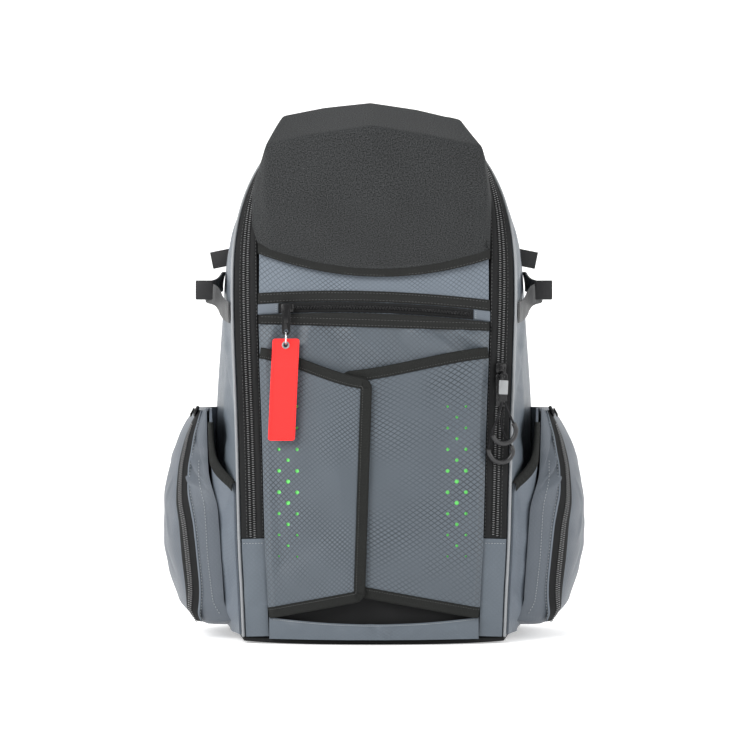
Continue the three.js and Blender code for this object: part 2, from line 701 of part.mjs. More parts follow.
// Front zip's slider, puller, ring and fob.
const sliderParked = 7.4;
const sliderX = frontZipFrom + sliderParked;
const pullerLength = 29;
const pullerWidth = 8;
const pullerThickness = 1.8;
const ringRadius = 6.5;
const ringWire = 0.8;
const fobWidth = 25;
const fobLength = 95;
const fobThickness = 2.5;
const eyeletHole = 1.9;
const eyeletRim = 3.6;
const coilTop = 2 * seamGap + 1 + coilHeight;
const box = (sx, sy, sz, x, y, z) => new THREE.BoxGeometry(sx, sy, sz).translate(x, y, z);
{
  const z = zipSlot(sliderX, half);
  const base = front(sliderX + 8, z) - coilTop - seamGap;
  const bodyDepth = 4;
  const bridgeHeight = 5;
  const body = solidOf(box(12, bodyDepth, 8.5, sliderX + 1, base - bodyDepth / 2, z));
  const bridge = solidOf(box(8, bridgeHeight, 2.4, sliderX, base - bodyDepth - bridgeHeight / 2 + 0.4, z + 2));
  const slot = solidOf(box(3.6, 2.8, 4, sliderX, base - bodyDepth - 1.6, z + 2));
  add("front_slider", geometryOf(body.add(bridge).subtract(slot)), blackPlastic);

  // Puller: hangs from the bridge's slot, with a hole for the ring at its foot.
  const pullerY = base - bodyDepth - bridgeHeight - pullerThickness / 2;
  const top = z + 3;
  const foot = top - pullerLength;
  const footRound = foot + pullerWidth * half;
  const disc = (radius, depth) =>
    solidOf(new THREE.CylinderGeometry(radius, radius, depth, 12).translate(sliderX, pullerY, footRound));
  const plateLength = top - footRound;
  const plate = solidOf(
    box(pullerWidth, pullerThickness, plateLength, sliderX, pullerY, top - plateLength / 2),
  );
  const puller = plate.add(disc(pullerWidth * half, pullerThickness)).subtract(disc(ringWire + 1.2, 10));
  add("front_puller", geometryOf(puller), blackPlastic);

  // Ring: stands across the puller and the fob and passes through both holes.
  const ringZ = foot + pullerWidth * half - ringRadius;
  const ring = new THREE.TorusGeometry(ringRadius, ringWire, 6, 16);
  ring.rotateY(quarterTurn).translate(sliderX, pullerY, ringZ);
  add("fob_ring", ring, silverMetal);

  // Fob: a strip of stitched cloth that hangs from the ring and leans on the flap.
  const eyeletZ = ringZ - ringRadius;
  const fobTop = eyeletZ + 6;
  const lean = 4.2;
  const proud = 4.5;
  const fobAt = (x, share, offset) =>
    vec(
      sliderX + x - lean * share,
      pullerY - proud * ease(share, 0.16, 0.3) - offset,
      fobTop - fobLength * share,
    );
  const fobRows = [0, 0.06, 0.14, 0.2, 0.26, 0.32, 0.6, 1];
  const layer = (offset) => gridOf(fobRows, [-fobWidth / 2, fobWidth / 2], (share, x) => fobAt(x, share, offset));
  const hole = new THREE.CylinderGeometry(eyeletRim, eyeletRim, 10, 12).translate(sliderX - 0.3, pullerY, eyeletZ);
  const strip = solidOf(between(layer(fobThickness / 2), layer(-fobThickness / 2)));
  add("fob", geometryOf(strip.subtract(solidOf(hole))), redCloth);
  const rim = new THREE.Shape().absarc(0, 0, eyeletRim - seamGap, 0, 2 * Math.PI, false);
  rim.holes.push(new THREE.Path().absarc(0, 0, eyeletHole, 0, 2 * Math.PI, true));
  const eyelet = new THREE.ExtrudeGeometry(rim, { depth: fobThickness + 0.8, bevelEnabled: false, curveSegments: 6 });
  eyelet.rotateX(quarterTurn).translate(sliderX - 0.3, pullerY + fobThickness / 2 + 0.4, eyeletZ);
  add("fob_eyelet", eyelet, silverMetal);
}

// Main zip's two sliders, nose to nose on the right-hand side, each with a puller and a cord loop in a grip. What
// lies there is placed by its height and its distance across the band from the coil's middle.
const sliderHeight = 260;
const sliderLength = 10;
const sliderWidth = 10;
const sliderDepth = 4;
const coilMiddle = zipBandWidth / 2;
const bandRow = (z) => wholeArch - doorRow(z);
const mainCoilTop = seamGap + coilHeight;
{
  // A box on the band, sized across, off and along it.
  const onBand = (width, depth, length, across, lift, z) => {
    const s = bandRow(z);
    const axes = bandAxes(s);
    const centre = bandPoint(s, coilMiddle + across, lift);
    const basis = new THREE.Matrix4().makeBasis(axes.across, axes.facing, axes.across.clone().cross(axes.facing));
    return new THREE.BoxGeometry(width, depth, length).applyMatrix4(basis.setPosition(centre));
  };
  const sliderLift = mainCoilTop + seamGap + sliderDepth / 2;
  const slider = (z) => {
    const body = solidOf(onBand(sliderWidth, sliderDepth, sliderLength, 0, sliderLift, z));
    const bridge = solidOf(onBand(3.2, 3, 7, 0, sliderLift + sliderDepth / 2 + 1.3, z));
    return geometryOf(body.add(bridge));
  };
  const secondHeight = sliderHeight - sliderLength - 1;
  add("main_slider_upper", slider(sliderHeight), blackPlastic);
  add("main_slider_lower", slider(secondHeight), blackPlastic);

  // Pullers: the upper one lies over the lower one.
  const pullerTopLift = sliderLift + sliderDepth / 2 + 4.2;
  const mainPullerLength = 27;
  const mainPullerWidth = 8.4;
  const puller = (top, across, lift) => {
    const middle = top - mainPullerLength / 2;
    const plate = solidOf(onBand(mainPullerWidth, pullerThickness, mainPullerLength, across, lift, middle));
    const eyeAt = top - mainPullerLength + 4;
    const eye = solidOf(onBand(3.6, 8, 3.6, across, lift, eyeAt));
    return { geometry: geometryOf(plate.subtract(eye)), eyeAt, across, lift };
  };
  const lower = puller(secondHeight + 2, -1.2, pullerTopLift);
  const upper = puller(sliderHeight - 4, 1.2, pullerTopLift + pullerThickness + seamGap);
  add("main_puller_lower", lower.geometry, blackPlastic);
  add("main_puller_upper", upper.geometry, silverMetal);

  // Cord loops: each runs from its puller's eye round through a hard curved grip and back. The rows are places
  // along the loop, as distances across the band from the coil's middle and below the eye.
  const cordRadius = 1;
  const gripRadius = 2.3;
  const gripBore = 1.4;
  const loops = {
    upper: {
      from: upper,
      lift: pullerTopLift + 1,
      points: [
        [0.6, 5.6], [-0.8, 11], [-3.4, 22], [-7.2, 32], [-5.8, 39], [0.2, 43.6], [7.2, 43], [13, 38.4], [15, 30.5],
        [12, 23.6], [7.6, 15], [4.6, 9], [3.4, 5.6],
      ],
    },
    lower: {
      from: lower,
      lift: pullerTopLift - 4.4,
      points: [
        [-0.6, 5.6], [-2.2, 14], [-6.6, 28], [-9, 40], [-9.2, 48], [-4.6, 54.4], [2, 56.6], [9.2, 54.6], [13.8, 47.4],
        [11.6, 40.2], [6, 32], [1.6, 20], [1.8, 5.6],
      ],
    },
  };
  for (const [name, loop] of Object.entries(loops)) {
    const points = loop.points.map(([across, down]) => {
      const z = loop.from.eyeAt - down;
      const settle = ease(down, 6, 24);
      return bandPoint(bandRow(z), coilMiddle + across, lerp(loop.from.lift, loop.lift, settle));
    });
    add(`pull_cord_${name}`, tube(points, cordRadius, 6, 30), blackCloth);
    const whole = new THREE.CatmullRomCurve3(points);
    const gripPoints = steps(9, 22, 13).map((i) => whole.getPointAt(i / 30));
    add(`pull_grip_${name}`, tube(gripPoints, gripRadius, 6, 13, gripBore), blackPlastic);
  }
}

// Bat sleeve: an outer sheet on each side of the bag, sewn along the piping and the rear seam and standing off the
// wall between them, open at the top.
const sleeveThickness = 2;
const sleeveStandOff = 16;
const sleeveRearStandOff = 12;
const sleeveFront = -78;
const sleeveRear = 88;
const sleeveFoot = 8;
const sleeveRise = { front: 34, rear: 24, foot: 24 };
const pocketFoot = 13;
const pocketTop = 221;
function sleeveInside(y, z) {
  const across =
    ease(y, sleeveFront, sleeveFront + sleeveRise.front) * (1 - ease(y, sleeveRear - sleeveRise.rear, sleeveRear));
  const standOff = lerp(sleeveStandOff, sleeveRearStandOff, ease(y, -50, 0));
  const up = lerp(0.25, 1, ease(z, sleeveFoot, sleeveFoot + sleeveRise.foot));
  return wallSide(y, z) + seamGap + 0.1 + standOff * across * up;
}
const sleeveOutside = (y, z) => sleeveInside(y, z) + sleeveThickness;

// The sleeve's mouth, from the piping back and up to the ball pocket's top. back is a share of the way from
// sleeveFront to pocketTopSeam, and up a share of pocketTop.
const pocketFrontSeam = -60;
const pocketSeamShift = 27;
const pocketTopSeam = pocketFrontSeam + pocketSeamShift;
const mouth = [
  { back: 0, up: 0.681 },
  { back: 0.244, up: 0.713 },
  { back: 0.444, up: 0.751 },
  { back: 0.6, up: 0.797 },
  { back: 0.7, up: 0.862 },
  { back: 0.767, up: 0.932 },
  { back: 0.8, up: 1 },
];
const mouthY = (back) => lerp(sleeveFront, pocketTopSeam, back);
const mouthAt = (y) => pocketTop * lookUp(mouth, "back", "up", (y - sleeveFront) / (pocketTopSeam - sleeveFront));
{
  const bend = [0, 0.18, 0.356, 0.49, 0.6, 0.667, 0.733, 0.8].map(mouthY);
  const ys = [...bend, ...[0.17, 0.47, 0.8, 0.9, 1].map((share) => lerp(pocketTopSeam, sleeveRear, share))];
  const shares = [0, 0.06, 0.14, 0.5, 0.78, 1];
  const grid = (side) =>
    gridOf(ys, shares, (y, share) => {
      const z = lerp(sleeveFoot, mouthAt(y), share);
      return vec(side(y, z), y, z);
    });
  addPair("bat_sleeve", between(grid(sleeveOutside), grid(sleeveInside)), greyCloth);
}

// Sleeve binding: elastic tape on the outside of the mouth, from the piping to the pocket's top.
const sleeveBinding = 8;
{
  const ys = [0, 0.18, 0.356, 0.49, 0.6, 0.667, 0.733, 0.8].map(mouthY);
  const path = ys.map((y) => ({ y, z: mouthAt(y) }));
  const strip = (lift) =>
    path.map((p, i) => {
      const a = path[Math.max(i - 1, 0)];
      const b = path[Math.min(i + 1, path.length - 1)];
      const length = Math.hypot(b.y - a.y, b.z - a.z);
      const into = { y: (b.z - a.z) / length, z: -(b.y - a.y) / length };
      return [0, sleeveBinding].map((w) => {
        const y = p.y + into.y * w;
        const z = p.z + into.z * w;
        return vec(sleeveOutside(y, z) + lift, y, z);
      });
    });
  const bindingLift = 2;
  addPair("sleeve_binding", between(strip(bindingLift + 1.3), strip(bindingLift)), blackCloth);
}

// Ball pocket: a bulging pouch on the bat sleeve with a zip up its front face. out is how far it bulges as a share of
// pocketBulge, and zip where the zip's middle lies, as a share of the same. seam is how far the pocket's front seam
// has moved back, as a share of pocketSeamShift.
const pocketBulge = 43.5;
const pocketRearSeam = 80;
const pocketEdge = 1.5;
const pocketGap = 1.5;
const pocketWall = 2.5;
const pocketLevels = [
  { up: 0, out: 0.588, zip: 0.487, seam: 0 },
  { up: 0.16, out: 0.877, zip: 0.387, seam: 0 },
  { up: 0.31, out: 1.0, zip: 0.381, seam: 0 },
  { up: 0.46, out: 0.994, zip: 0.415, seam: 0.25 },
  { up: 0.57, out: 0.961, zip: 0.476, seam: 0.5 },
  { up: 0.72, out: 0.805, zip: 0.454, seam: 0.9 },
  { up: 0.8, out: 0.693, zip: 0.387, seam: 1 },
  { up: 0.875, out: 0.532, zip: 0.298, seam: 1 },
  { up: 0.95, out: 0.331, zip: 0.164, seam: 1 },
  { up: 1.0, out: 0.108, zip: 0.048, seam: 1 },
];
const level = (name, up) => lookUp(pocketLevels, "up", name, up);
const pocketZ = (up) => lerp(pocketFoot, pocketTop, up);
// A point on the pocket's outside: turn runs from 0 at the front seam to PI at the rear seam.
function pocketPoint(turn, up, inset = 0) {
  const z = pocketZ(up);
  const seam = pocketFrontSeam + pocketSeamShift * level("seam", up);
  const middle = (seam + pocketRearSeam) / 2;
  const y = middle - ((pocketRearSeam - seam) / 2 - inset) * Math.cos(turn);
  const bulge = pocketBulge * level("out", up) * Math.sin(turn);
  return vec(sleeveOutside(y, z) + pocketGap + pocketEdge + bulge - inset, y, z);
}
const pocketMiddleY = (pocketFrontSeam + pocketSeamShift + pocketRearSeam) / 2;
const zipOut = (up) => sleeveOutside(pocketMiddleY, pocketZ(up)) + pocketBulge * level("zip", up);
const zipTurn = (up) => solve((turn) => pocketPoint(turn, up).x, zipOut(up), 0.05, quarterTurn);
// A place on the pocket's zip: across mm round the pocket from the zip's middle and lift mm off its surface.
function pocketZipPoint(up, across, lift) {
  const turn = zipTurn(up);
  const nudge = 0.02;
  const rate = pocketPoint(turn + nudge, up).distanceTo(pocketPoint(turn - nudge, up)) / (2 * nudge);
  const at = turn + across / rate;
  const along = pocketPoint(at + nudge, up).sub(pocketPoint(at - nudge, up));
  const facing = vec(along.y, -along.x, 0).normalize();
  return pocketPoint(at, up).addScaledVector(facing, lift);
}
const pocketZipWidth = 12;
const pocketZipThickness = 1.4;
const pocketZipGap = 0.7;
{
  const turns = steps(0, Math.PI, 12);
  const ups = [0, 0.08, 0.18, 0.31, 0.46, 0.6, 0.74, 0.88, 1];
  const inside = (points, gap) => points.map((row) => row.map((p) => vec(sleeveOutside(p.y, p.z) + gap, p.y, p.z)));
  const outer = gridOf(turns, ups, (turn, up) => pocketPoint(turn, up));
  const whole = solidOf(between(outer, inside(outer, pocketGap)));
  const hollowTurns = turns.slice(1, -1);
  const hollowUps = ups.map((up) => lerp(0.012, 0.988, up));
  const hollow = gridOf(hollowTurns, hollowUps, (turn, up) => pocketPoint(turn, up, pocketWall));
  const shell = whole.subtract(solidOf(between(hollow, inside(hollow, -1))));
  addPair("ball_pocket", geometryOf(shell), greyCloth);

  const zipUps = [0.03, 0.08, 0.18, 0.31, 0.46, 0.6, 0.74, 0.88, 0.96];
  const strip = (lift) =>
    gridOf(zipUps, [-half, 0, half], (up, w) => pocketZipPoint(up, w * pocketZipWidth, lift));
  addPair("ball_pocket_zip", between(strip(pocketZipGap + pocketZipThickness), strip(pocketZipGap)), blackCloth);

  // The zip's slider, parked at its top.
  const sliderUp = 0.955;
  const place = (across, lift) => pocketZipPoint(sliderUp, across, lift);
  const across = place(half, 0).sub(place(-half, 0)).normalize();
  const climb = pocketZipPoint(sliderUp + 0.03, 0, 0).sub(pocketZipPoint(sliderUp - 0.03, 0, 0)).normalize();
  const facing = climb.clone().cross(across).normalize();
  const depth = 3.2;
  const middle = place(0, pocketZipGap + pocketZipThickness + 1 + depth / 2);
  const basis = new THREE.Matrix4().makeBasis(across, facing, across.clone().cross(facing)).setPosition(middle);
  addPair("ball_pocket_slider", new THREE.BoxGeometry(9, depth, 14).applyMatrix4(basis), blackPlastic);
}

// Bat strap: a webbing loop on each side, from the piping out to a folded end and back to the rear seam. back is a
// share of the way from its front seam to its rear seam, out a share of how far it stands off the wall, and up a
// share of archHeight.
const strapWidth = 20;
const strapThickness = 1.6;
const strapSeam = 0.8;
const batStrapFront = -79;
const batStrapRear = 86;
const batStrapReach = 21.2;
const foldLength = 17;
const foldHeight = 17;
const foldThickness = 3.2;
{
  const rows = [
    { back: 0, out: 0, up: 0.624 },
    { back: 0.079, out: 0.245, up: 0.628 },
    { back: 0.2, out: 0.67, up: 0.64 },
    { back: 0.333, out: 0.929, up: 0.654 },
    { back: 0.418, out: 1, up: 0.662 },
    { back: 0.515, out: 0.953, up: 0.67 },
    { back: 0.661, out: 0.623, up: 0.68 },
    { back: 0.842, out: 0.222, up: 0.688 },
    { back: 1, out: 0, up: 0.692 },
  ];
  const place = (row, w, lift) => {
    const y = lerp(batStrapFront, batStrapRear, row.back);
    const z = row.up * archHeight + w * strapWidth;
    return vec(wallSide(y, z) + strapSeam + row.out * batStrapReach + lift, y, z);
  };
  const grid = (lift) => gridOf(rows, [-half, half], (row, w) => place(row, w, lift));
  const foldAt = place(rows[4], 0, foldLength / 2);
  const fold = solidOf(box(foldLength, foldThickness, foldHeight, foldAt.x, foldAt.y, foldAt.z + 2));
  const loop = solidOf(between(grid(strapThickness), grid(0)));
  addPair("bat_strap", geometryOf(loop.add(fold)), blackCloth);
}

// Side tab: a short folded webbing tab that sticks out of the wall near the rear seam.
const sideTabUp = 0.736;
const sideTabInset = 15;
const sideTabLength = 22;
const sideTabTilt = -0.17;
{
  const y = rearReach - sideTabInset;
  const z = sideTabUp * archHeight;
  const tab = box(sideTabLength, foldThickness, foldHeight, 0, 0, 0).rotateY(sideTabTilt);
  tab.translate(wallSide(y, z) + seamGap + sideTabLength / 2, y, z);
  addPair("side_tab", tab, blackCloth);
}

// Back pad: a thick mesh-covered cushion on the back panel, inset from the panel's outline.
const backY = rearReach + backPanelThickness;
const padThickness = 11;
{
  const shape = new THREE.Shape();
  const inset = { width: 0.64, foot: 0.084 * archHeight, top: 0.83 };
  overArch([1, 3, 5, 7, 8, 9, 10, 11, 12]).forEach((s, i) => {
    const edge = rearEdge(s);
    shape[i ? "lineTo" : "moveTo"](edge.x * inset.width, inset.foot + (edge.z - inset.foot) * inset.top);
  });
  const bevel = 3;
  const pad = new THREE.ExtrudeGeometry(shape, {
    depth: padThickness - 2 * bevel,
    bevelThickness: bevel,
    bevelSize: bevel,
    bevelSegments: 1,
  });
  pad.rotateX(quarterTurn).translate(0, backY + seamGap + padThickness - bevel, 0);
  add("back_pad", pad, blackCloth);
}

// Shoulder straps: padded straps from the top of the back down to its sides. across is a share of half of rearWidth,
// out a share of how far the strap stands off the back, up a share of archHeight and width a share of shoulderWidth.
// Each gives the middle of the strap's outer face.
const shoulderThickness = 10;
const shoulderWidth = 62;
const shoulderReach = 40.8;
const shoulderSeam = 2.2;
const shoulderRows = [
  { across: 0.3125, out: 0, up: 0.904, width: 1 },
  { across: 0.319, out: 0.044, up: 0.878, width: 1 },
  { across: 0.344, out: 0.338, up: 0.844, width: 1 },
  { across: 0.4, out: 0.779, up: 0.78, width: 1 },
  { across: 0.475, out: 1, up: 0.68, width: 0.968 },
  { across: 0.5375, out: 1, up: 0.56, width: 0.919 },
  { across: 0.5875, out: 0.853, up: 0.44, width: 0.871 },
  { across: 0.619, out: 0.608, up: 0.33, width: 0.806 },
];
const shoulderEdge = 2.5;
const webbingWidth = 25;
const webbingThickness = 2;
const webbingSeam = 1;
{
  const outside = () => vec(0, 1, 0.3);
  const seat = backY + shoulderThickness + shoulderSeam;
  const grid = gridOf(shoulderRows, [-half, -0.3, 0.3, half], (row, w) => {
    const x = (row.across * rearWidth) / 2 + w * row.width * shoulderWidth;
    const round = Math.abs(w) === half ? shoulderEdge : 0;
    return vec(x, seat + row.out * shoulderReach - round, row.up * archHeight);
  });
  addPair("shoulder_strap", panel(grid, shoulderThickness, outside), blackCloth);

  // The strap's webbing: from its foot down to the corner of the back panel. out is a share of the strap's own
  // distance from the back at its foot.
  const foot = shoulderRows[shoulderRows.length - 1];
  const footOut = shoulderThickness + shoulderSeam + foot.out * shoulderReach;
  const rows = [
    { across: 0.622, out: 0.784, up: foot.up + 0.0018 },
    { across: 0.6375, out: 0.54, up: 0.256 },
    { across: 0.6875, out: 0.405, up: 0.184 },
    { across: 0.7625, out: 0.162, up: 0.12 },
    { across: 0.7875, out: 0.055, up: 0.08 },
  ];
  const webbing = gridOf(rows, [-half, half], (row, w) => {
    const y = backY + Math.max(row.out * footOut, webbingThickness + webbingSeam);
    return vec((row.across * rearWidth) / 2 + w * webbingWidth, y, row.up * archHeight);
  });
  addPair("strap_webbing", panel(webbing, webbingThickness, outside), blackCloth);
}

// Grab handle: a padded loop over the top of the back. across is a share of half of its width, up a share of its
// rise and out a share of how far it leans away from the back.
const handleWidth = 88;
const handleFoot = 0.916 * archHeight;
const handleRise = 43;
const handleRadius = 4;
const handleLean = 4;
{
  const rows = [
    { across: -1, up: 0, out: 0 },
    { across: -0.91, up: 0.42, out: 0.4 },
    { across: -0.5, up: 0.88, out: 0.9 },
    { across: 0, up: 1, out: 1 },
  ];
  const place = ({ across, up, out }) =>
    vec((across * handleWidth) / 2, backY + handleRadius + 0.5 + out * handleLean, handleFoot + up * handleRise);
  const right = rows.slice(0, -1).reverse().map((row) => ({ ...row, across: -row.across }));
  add("grab_handle", tube([...rows, ...right].map(place), handleRadius, 8, 20), blackCloth);
}

export default bag;
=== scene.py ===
import math

import bpy
from mathutils import Matrix, Vector, noise


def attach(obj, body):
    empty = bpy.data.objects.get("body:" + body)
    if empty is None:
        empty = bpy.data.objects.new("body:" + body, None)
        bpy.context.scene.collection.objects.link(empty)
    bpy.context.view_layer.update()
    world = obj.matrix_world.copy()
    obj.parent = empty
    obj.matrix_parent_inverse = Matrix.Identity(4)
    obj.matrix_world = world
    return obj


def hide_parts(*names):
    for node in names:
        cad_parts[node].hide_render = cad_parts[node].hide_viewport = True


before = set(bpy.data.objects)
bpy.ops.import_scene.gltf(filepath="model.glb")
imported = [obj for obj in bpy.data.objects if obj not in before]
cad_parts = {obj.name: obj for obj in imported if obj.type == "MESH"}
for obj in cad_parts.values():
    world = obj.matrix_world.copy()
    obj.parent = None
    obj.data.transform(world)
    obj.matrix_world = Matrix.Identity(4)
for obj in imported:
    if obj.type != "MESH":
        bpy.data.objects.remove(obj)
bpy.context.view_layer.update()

bpy.ops.object.select_all(action="DESELECT")
MM = 0.001

# The studio: a camera level with the middle of the bag, a pale floor that sweeps up behind it, and large
# soft lights in front, above and at both sides. Its sizes are in metres.
camera_height = 0.253
camera_distance = 2.4
lens = 118.0
bpy.ops.object.camera_add(location=(0.001, -camera_distance, camera_height),
                          rotation=(math.radians(90), 0, 0))
camera = bpy.context.object
camera.data.lens = lens
camera.data.sensor_width = 36
bpy.context.scene.camera = camera

bpy.ops.mesh.primitive_grid_add(x_subdivisions=1, y_subdivisions=40, size=1)
floor = bpy.context.object
floor.name = "floor"
floor_near, floor_run, floor_half = -5, 14, 9.0
sweep_start, sweep_radius = 1.2, 1.6
for vertex in floor.data.vertices:
    run = (vertex.co.y + 0.5) * floor_run + floor_near
    bend = max(0.0, min((run - sweep_start) / sweep_radius, math.pi / 2))
    climb = max(0.0, run - sweep_start - sweep_radius * math.pi / 2)
    y = min(run, sweep_start) + sweep_radius * math.sin(bend)
    vertex.co = (vertex.co.x * 2 * floor_half, y, sweep_radius * (1 - math.cos(bend)) + climb)
bpy.ops.object.shade_smooth()
paper = bpy.data.materials.new("white_paper")
paper.use_nodes = True
for key, value in (("Base Color", (0.86, 0.86, 0.86, 1)), ("Roughness", 0.9),
                   ("Emission Color", (1, 1, 1, 1)), ("Emission Strength", 0.4)):
    paper.node_tree.nodes["Principled BSDF"].inputs[key].default_value = value
floor.data.materials.append(paper)

lights = (
    # name, place, size, power
    ("key", (-1.5, -1.9, 1.7), 1.3, 58),
    ("fill", (1.7, -1.9, 1.2), 1.6, 20),
    ("above", (0.0, 0.2, 2.3), 1.6, 18),
    ("left_edge", (-1.9, -0.4, 0.7), 0.9, 14),
    ("right_edge", (1.9, -0.4, 0.7), 0.9, 12),
)
for name, spot, size, power in lights:
    bpy.ops.object.light_add(type="AREA", location=spot)
    light = bpy.context.object
    light.name = name
    light.data.size = size
    light.data.energy = power
    light.rotation_euler = (Vector((0, 0, 0.25)) - Vector(spot)).to_track_quat("-Z", "Y").to_euler()
world = bpy.data.worlds.new("studio")
bpy.context.scene.world = world
world.use_nodes = True
world.node_tree.nodes["Background"].inputs["Color"].default_value = (1, 1, 1, 1)
world.node_tree.nodes["Background"].inputs["Strength"].default_value = 0.55
bpy.context.scene.view_settings.view_transform = "Standard"

# Body wall: one padded arch of grey ripstop from the piping back to the rear seam. The arch follows this
# table of levels from the base to the top: half widths as shares, heights as shares, and the degrees the
# zip band has turned.
arch_height, door_width, rear_width = 500, 220, 320
front_reach, rear_reach, door_crown = 88, 95, 8
band_width, floor_gap, corner_gap = 22, 5.3, 2.8
outline = (
    # door, door_up, rear, rear_up, reach, turn
    (0.898, 0.015, 0.912, 0.015, 1.0, 10),
    (0.914, 0.1, 0.944, 0.1, 1.0, 10),
    (0.936, 0.2, 0.978, 0.21, 1.0, 10),
    (0.959, 0.4, 1.0, 0.4, 1.0, 10),
    (0.991, 0.594, 0.966, 0.594, 1.0, 10),
    (1.0, 0.7, 0.938, 0.704, 0.966, 14),
    (1.0, 0.77, 0.891, 0.772, 0.898, 28),
    (0.986, 0.84, 0.825, 0.84, 0.773, 50),
    (0.945, 0.894, 0.738, 0.892, 0.636, 68),
    (0.864, 0.934, 0.619, 0.93, 0.5, 78),
    (0.709, 0.968, 0.456, 0.958, 0.352, 84),
    (0.436, 0.992, 0.25, 0.972, 0.227, 86),
    (0.0, 1.0, 0.0, 0.976, 0.182, 86),
)
top_row = len(outline) - 1
whole_arch = 2 * top_row
DOOR, DOOR_UP, REAR, REAR_UP, REACH, TURN = range(6)


def mix(a, b, t):
    return a + (b - a) * t


def ease(x, a, b):
    """Rises smoothly from 0 at a to 1 at b."""
    t = max(0.0, min((x - a) / (b - a), 1.0))
    return t * t * (3 - 2 * t)


def outline_at(column, t):
    """A column of the outline at row t, on a smooth curve through the rows."""
    def value(i):
        if i < 0:
            return 2 * outline[0][column] - outline[-i][column]
        if i <= top_row:
            return outline[i][column]
        return outline[whole_arch - i][column] * (-1 if column in (DOOR, REAR) else 1)

    i = min(math.floor(t), top_row - 1)
    f = t - i
    a, b, c, d = (value(i + k) for k in (-1, 0, 1, 2))
    return b + 0.5 * f * (c - a + f * (2 * a - 5 * b + 4 * c - d + f * (3 * (b - c) + d - a)))


def row_of(s):
    """The outline's row at s, which runs over the arch from 0 at the left foot to the right one."""
    return s if s <= top_row else whole_arch - s


def door_edge(s):
    t = row_of(s)
    side = -1 if s <= top_row else 1
    x = side * outline_at(DOOR, t) * door_width / 2
    return Vector((x, -outline_at(REACH, t) * front_reach, outline_at(DOOR_UP, t) * arch_height))


def rear_edge(s):
    t = row_of(s)
    side = -1 if s <= top_row else 1
    x = side * outline_at(REAR, t) * rear_width / 2
    return Vector((x, rear_reach, outline_at(REAR_UP, t) * arch_height))


def outwards(s):
    along = door_edge(s + 0.05) - door_edge(s - 0.05)
    return Vector((-along.z, 0, along.x)).normalized()


def band_axes(s):
    """The directions across the zip band and off it."""
    turn = math.radians(outline_at(TURN, row_of(s)))
    out = outwards(s)
    across = out * math.cos(turn) + Vector((0, math.sin(turn), 0))
    facing = out * math.sin(turn) - Vector((0, math.cos(turn), 0))
    return across, facing


def band_point(s, width, lift=0.0):
    across, facing = band_axes(s)
    return door_edge(s) + across * width + facing * lift


piping_radius, piping_gap, edge_gap = 1.75, 0.9, 0.6
wall_belly = 8


def piping_centre(s):
    return band_point(s, band_width + piping_radius + piping_gap)


def wall_front(s):
    return piping_centre(s) + outwards(s) + Vector((0, piping_radius + edge_gap, 0))


def wall_point(s, share, lift=0.0):
    rear = rear_edge(s) - Vector((0, edge_gap, 0))
    return wall_front(s).lerp(rear, share) + outwards(s) * (wall_belly * share * (1 - share) + lift)


def grid_piece(name, columns, rows, place, size):
    """A grid whose point at (u, v) is moved to place(u, v), in mm. size is the cloth's width and height."""
    bpy.ops.object.select_all(action="DESELECT")
    bpy.ops.mesh.primitive_grid_add(x_subdivisions=columns, y_subdivisions=rows, size=1, calc_uvs=True)
    piece = bpy.context.object
    piece.name = name
    for vertex in piece.data.vertices:
        vertex.co = Vector(place(vertex.co.x + 0.5, vertex.co.y + 0.5)) * MM
    for corner in piece.data.uv_layers.active.data:
        corner.uv = (corner.uv[0] * size[0] * MM, corner.uv[1] * size[1] * MM)
    middle = Vector((0, 0, 0.25))
    outward = sum(face.area * face.normal.dot(face.center - middle) for face in piece.data.polygons)
    if outward < 0:
        piece.data.flip_normals()
    return piece


def select_only(*pieces):
    """Selects the pieces and nothing else, with the first one active."""
    bpy.ops.object.select_all(action="DESELECT")
    for piece in pieces:
        piece.select_set(True)
    bpy.context.view_layer.objects.active = pieces[0]


def apply(piece, kind, **settings):
    """Adds a modifier and applies it."""
    select_only(piece)
    modifier = piece.modifiers.new(kind, kind)
    for key, value in settings.items():
        setattr(modifier, key, value)
    bpy.ops.object.modifier_apply(modifier=modifier.name)
    return piece


def thicken(piece, thickness):
    return apply(piece, "SOLIDIFY", thickness=thickness * MM, offset=-1)


def finish_piece(piece, material, slot, *nodes, angle=50):
    """Shades a piece, gives it its material, and fixes it to the bag in place of the CAD nodes."""
    select_only(piece)
    bpy.ops.object.shade_smooth_by_angle(angle=math.radians(angle))
    piece.data.materials.clear()
    piece.data.materials.append(material)
    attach(piece, "root")
    if nodes:
        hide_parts(*nodes)
    return piece


def add_node(tree, kind, inputs=None, **settings):
    """A new node whose inputs are set to values or linked to sockets."""
    made = tree.nodes.new(kind)
    for key, value in settings.items():
        setattr(made, key, value)
    for key, value in (inputs or {}).items():
        if isinstance(value, bpy.types.NodeSocket):
            tree.links.new(value, made.inputs[key])
        else:
            made.inputs[key].default_value = value
    return made


def math_node(tree, operation, *values):
    return add_node(tree, "ShaderNodeMath", dict(enumerate(values)), operation=operation).outputs[0]


def falling_range(tree, value, low, high):
    """A node that goes from 1 at low to 0 at high."""
    inputs = {"Value": value, "From Min": low, "From Max": high, "To Min": 1.0, "To Max": 0.0}
    return add_node(tree, "ShaderNodeMapRange", inputs)


def effect_group(name, inputs, outputs):
    """An empty node group with float or vector inputs and float outputs."""
    group = bpy.data.node_groups.new(name, "ShaderNodeTree")
    for title, kind, value in inputs:
        socket = group.interface.new_socket(title, in_out="INPUT", socket_type=kind)
        if value is not None:
            socket.default_value = value
    for title in outputs:
        group.interface.new_socket(title, in_out="OUTPUT", socket_type="NodeSocketFloat")
    return group, group.nodes.new("NodeGroupInput"), group.nodes.new("NodeGroupOutput")


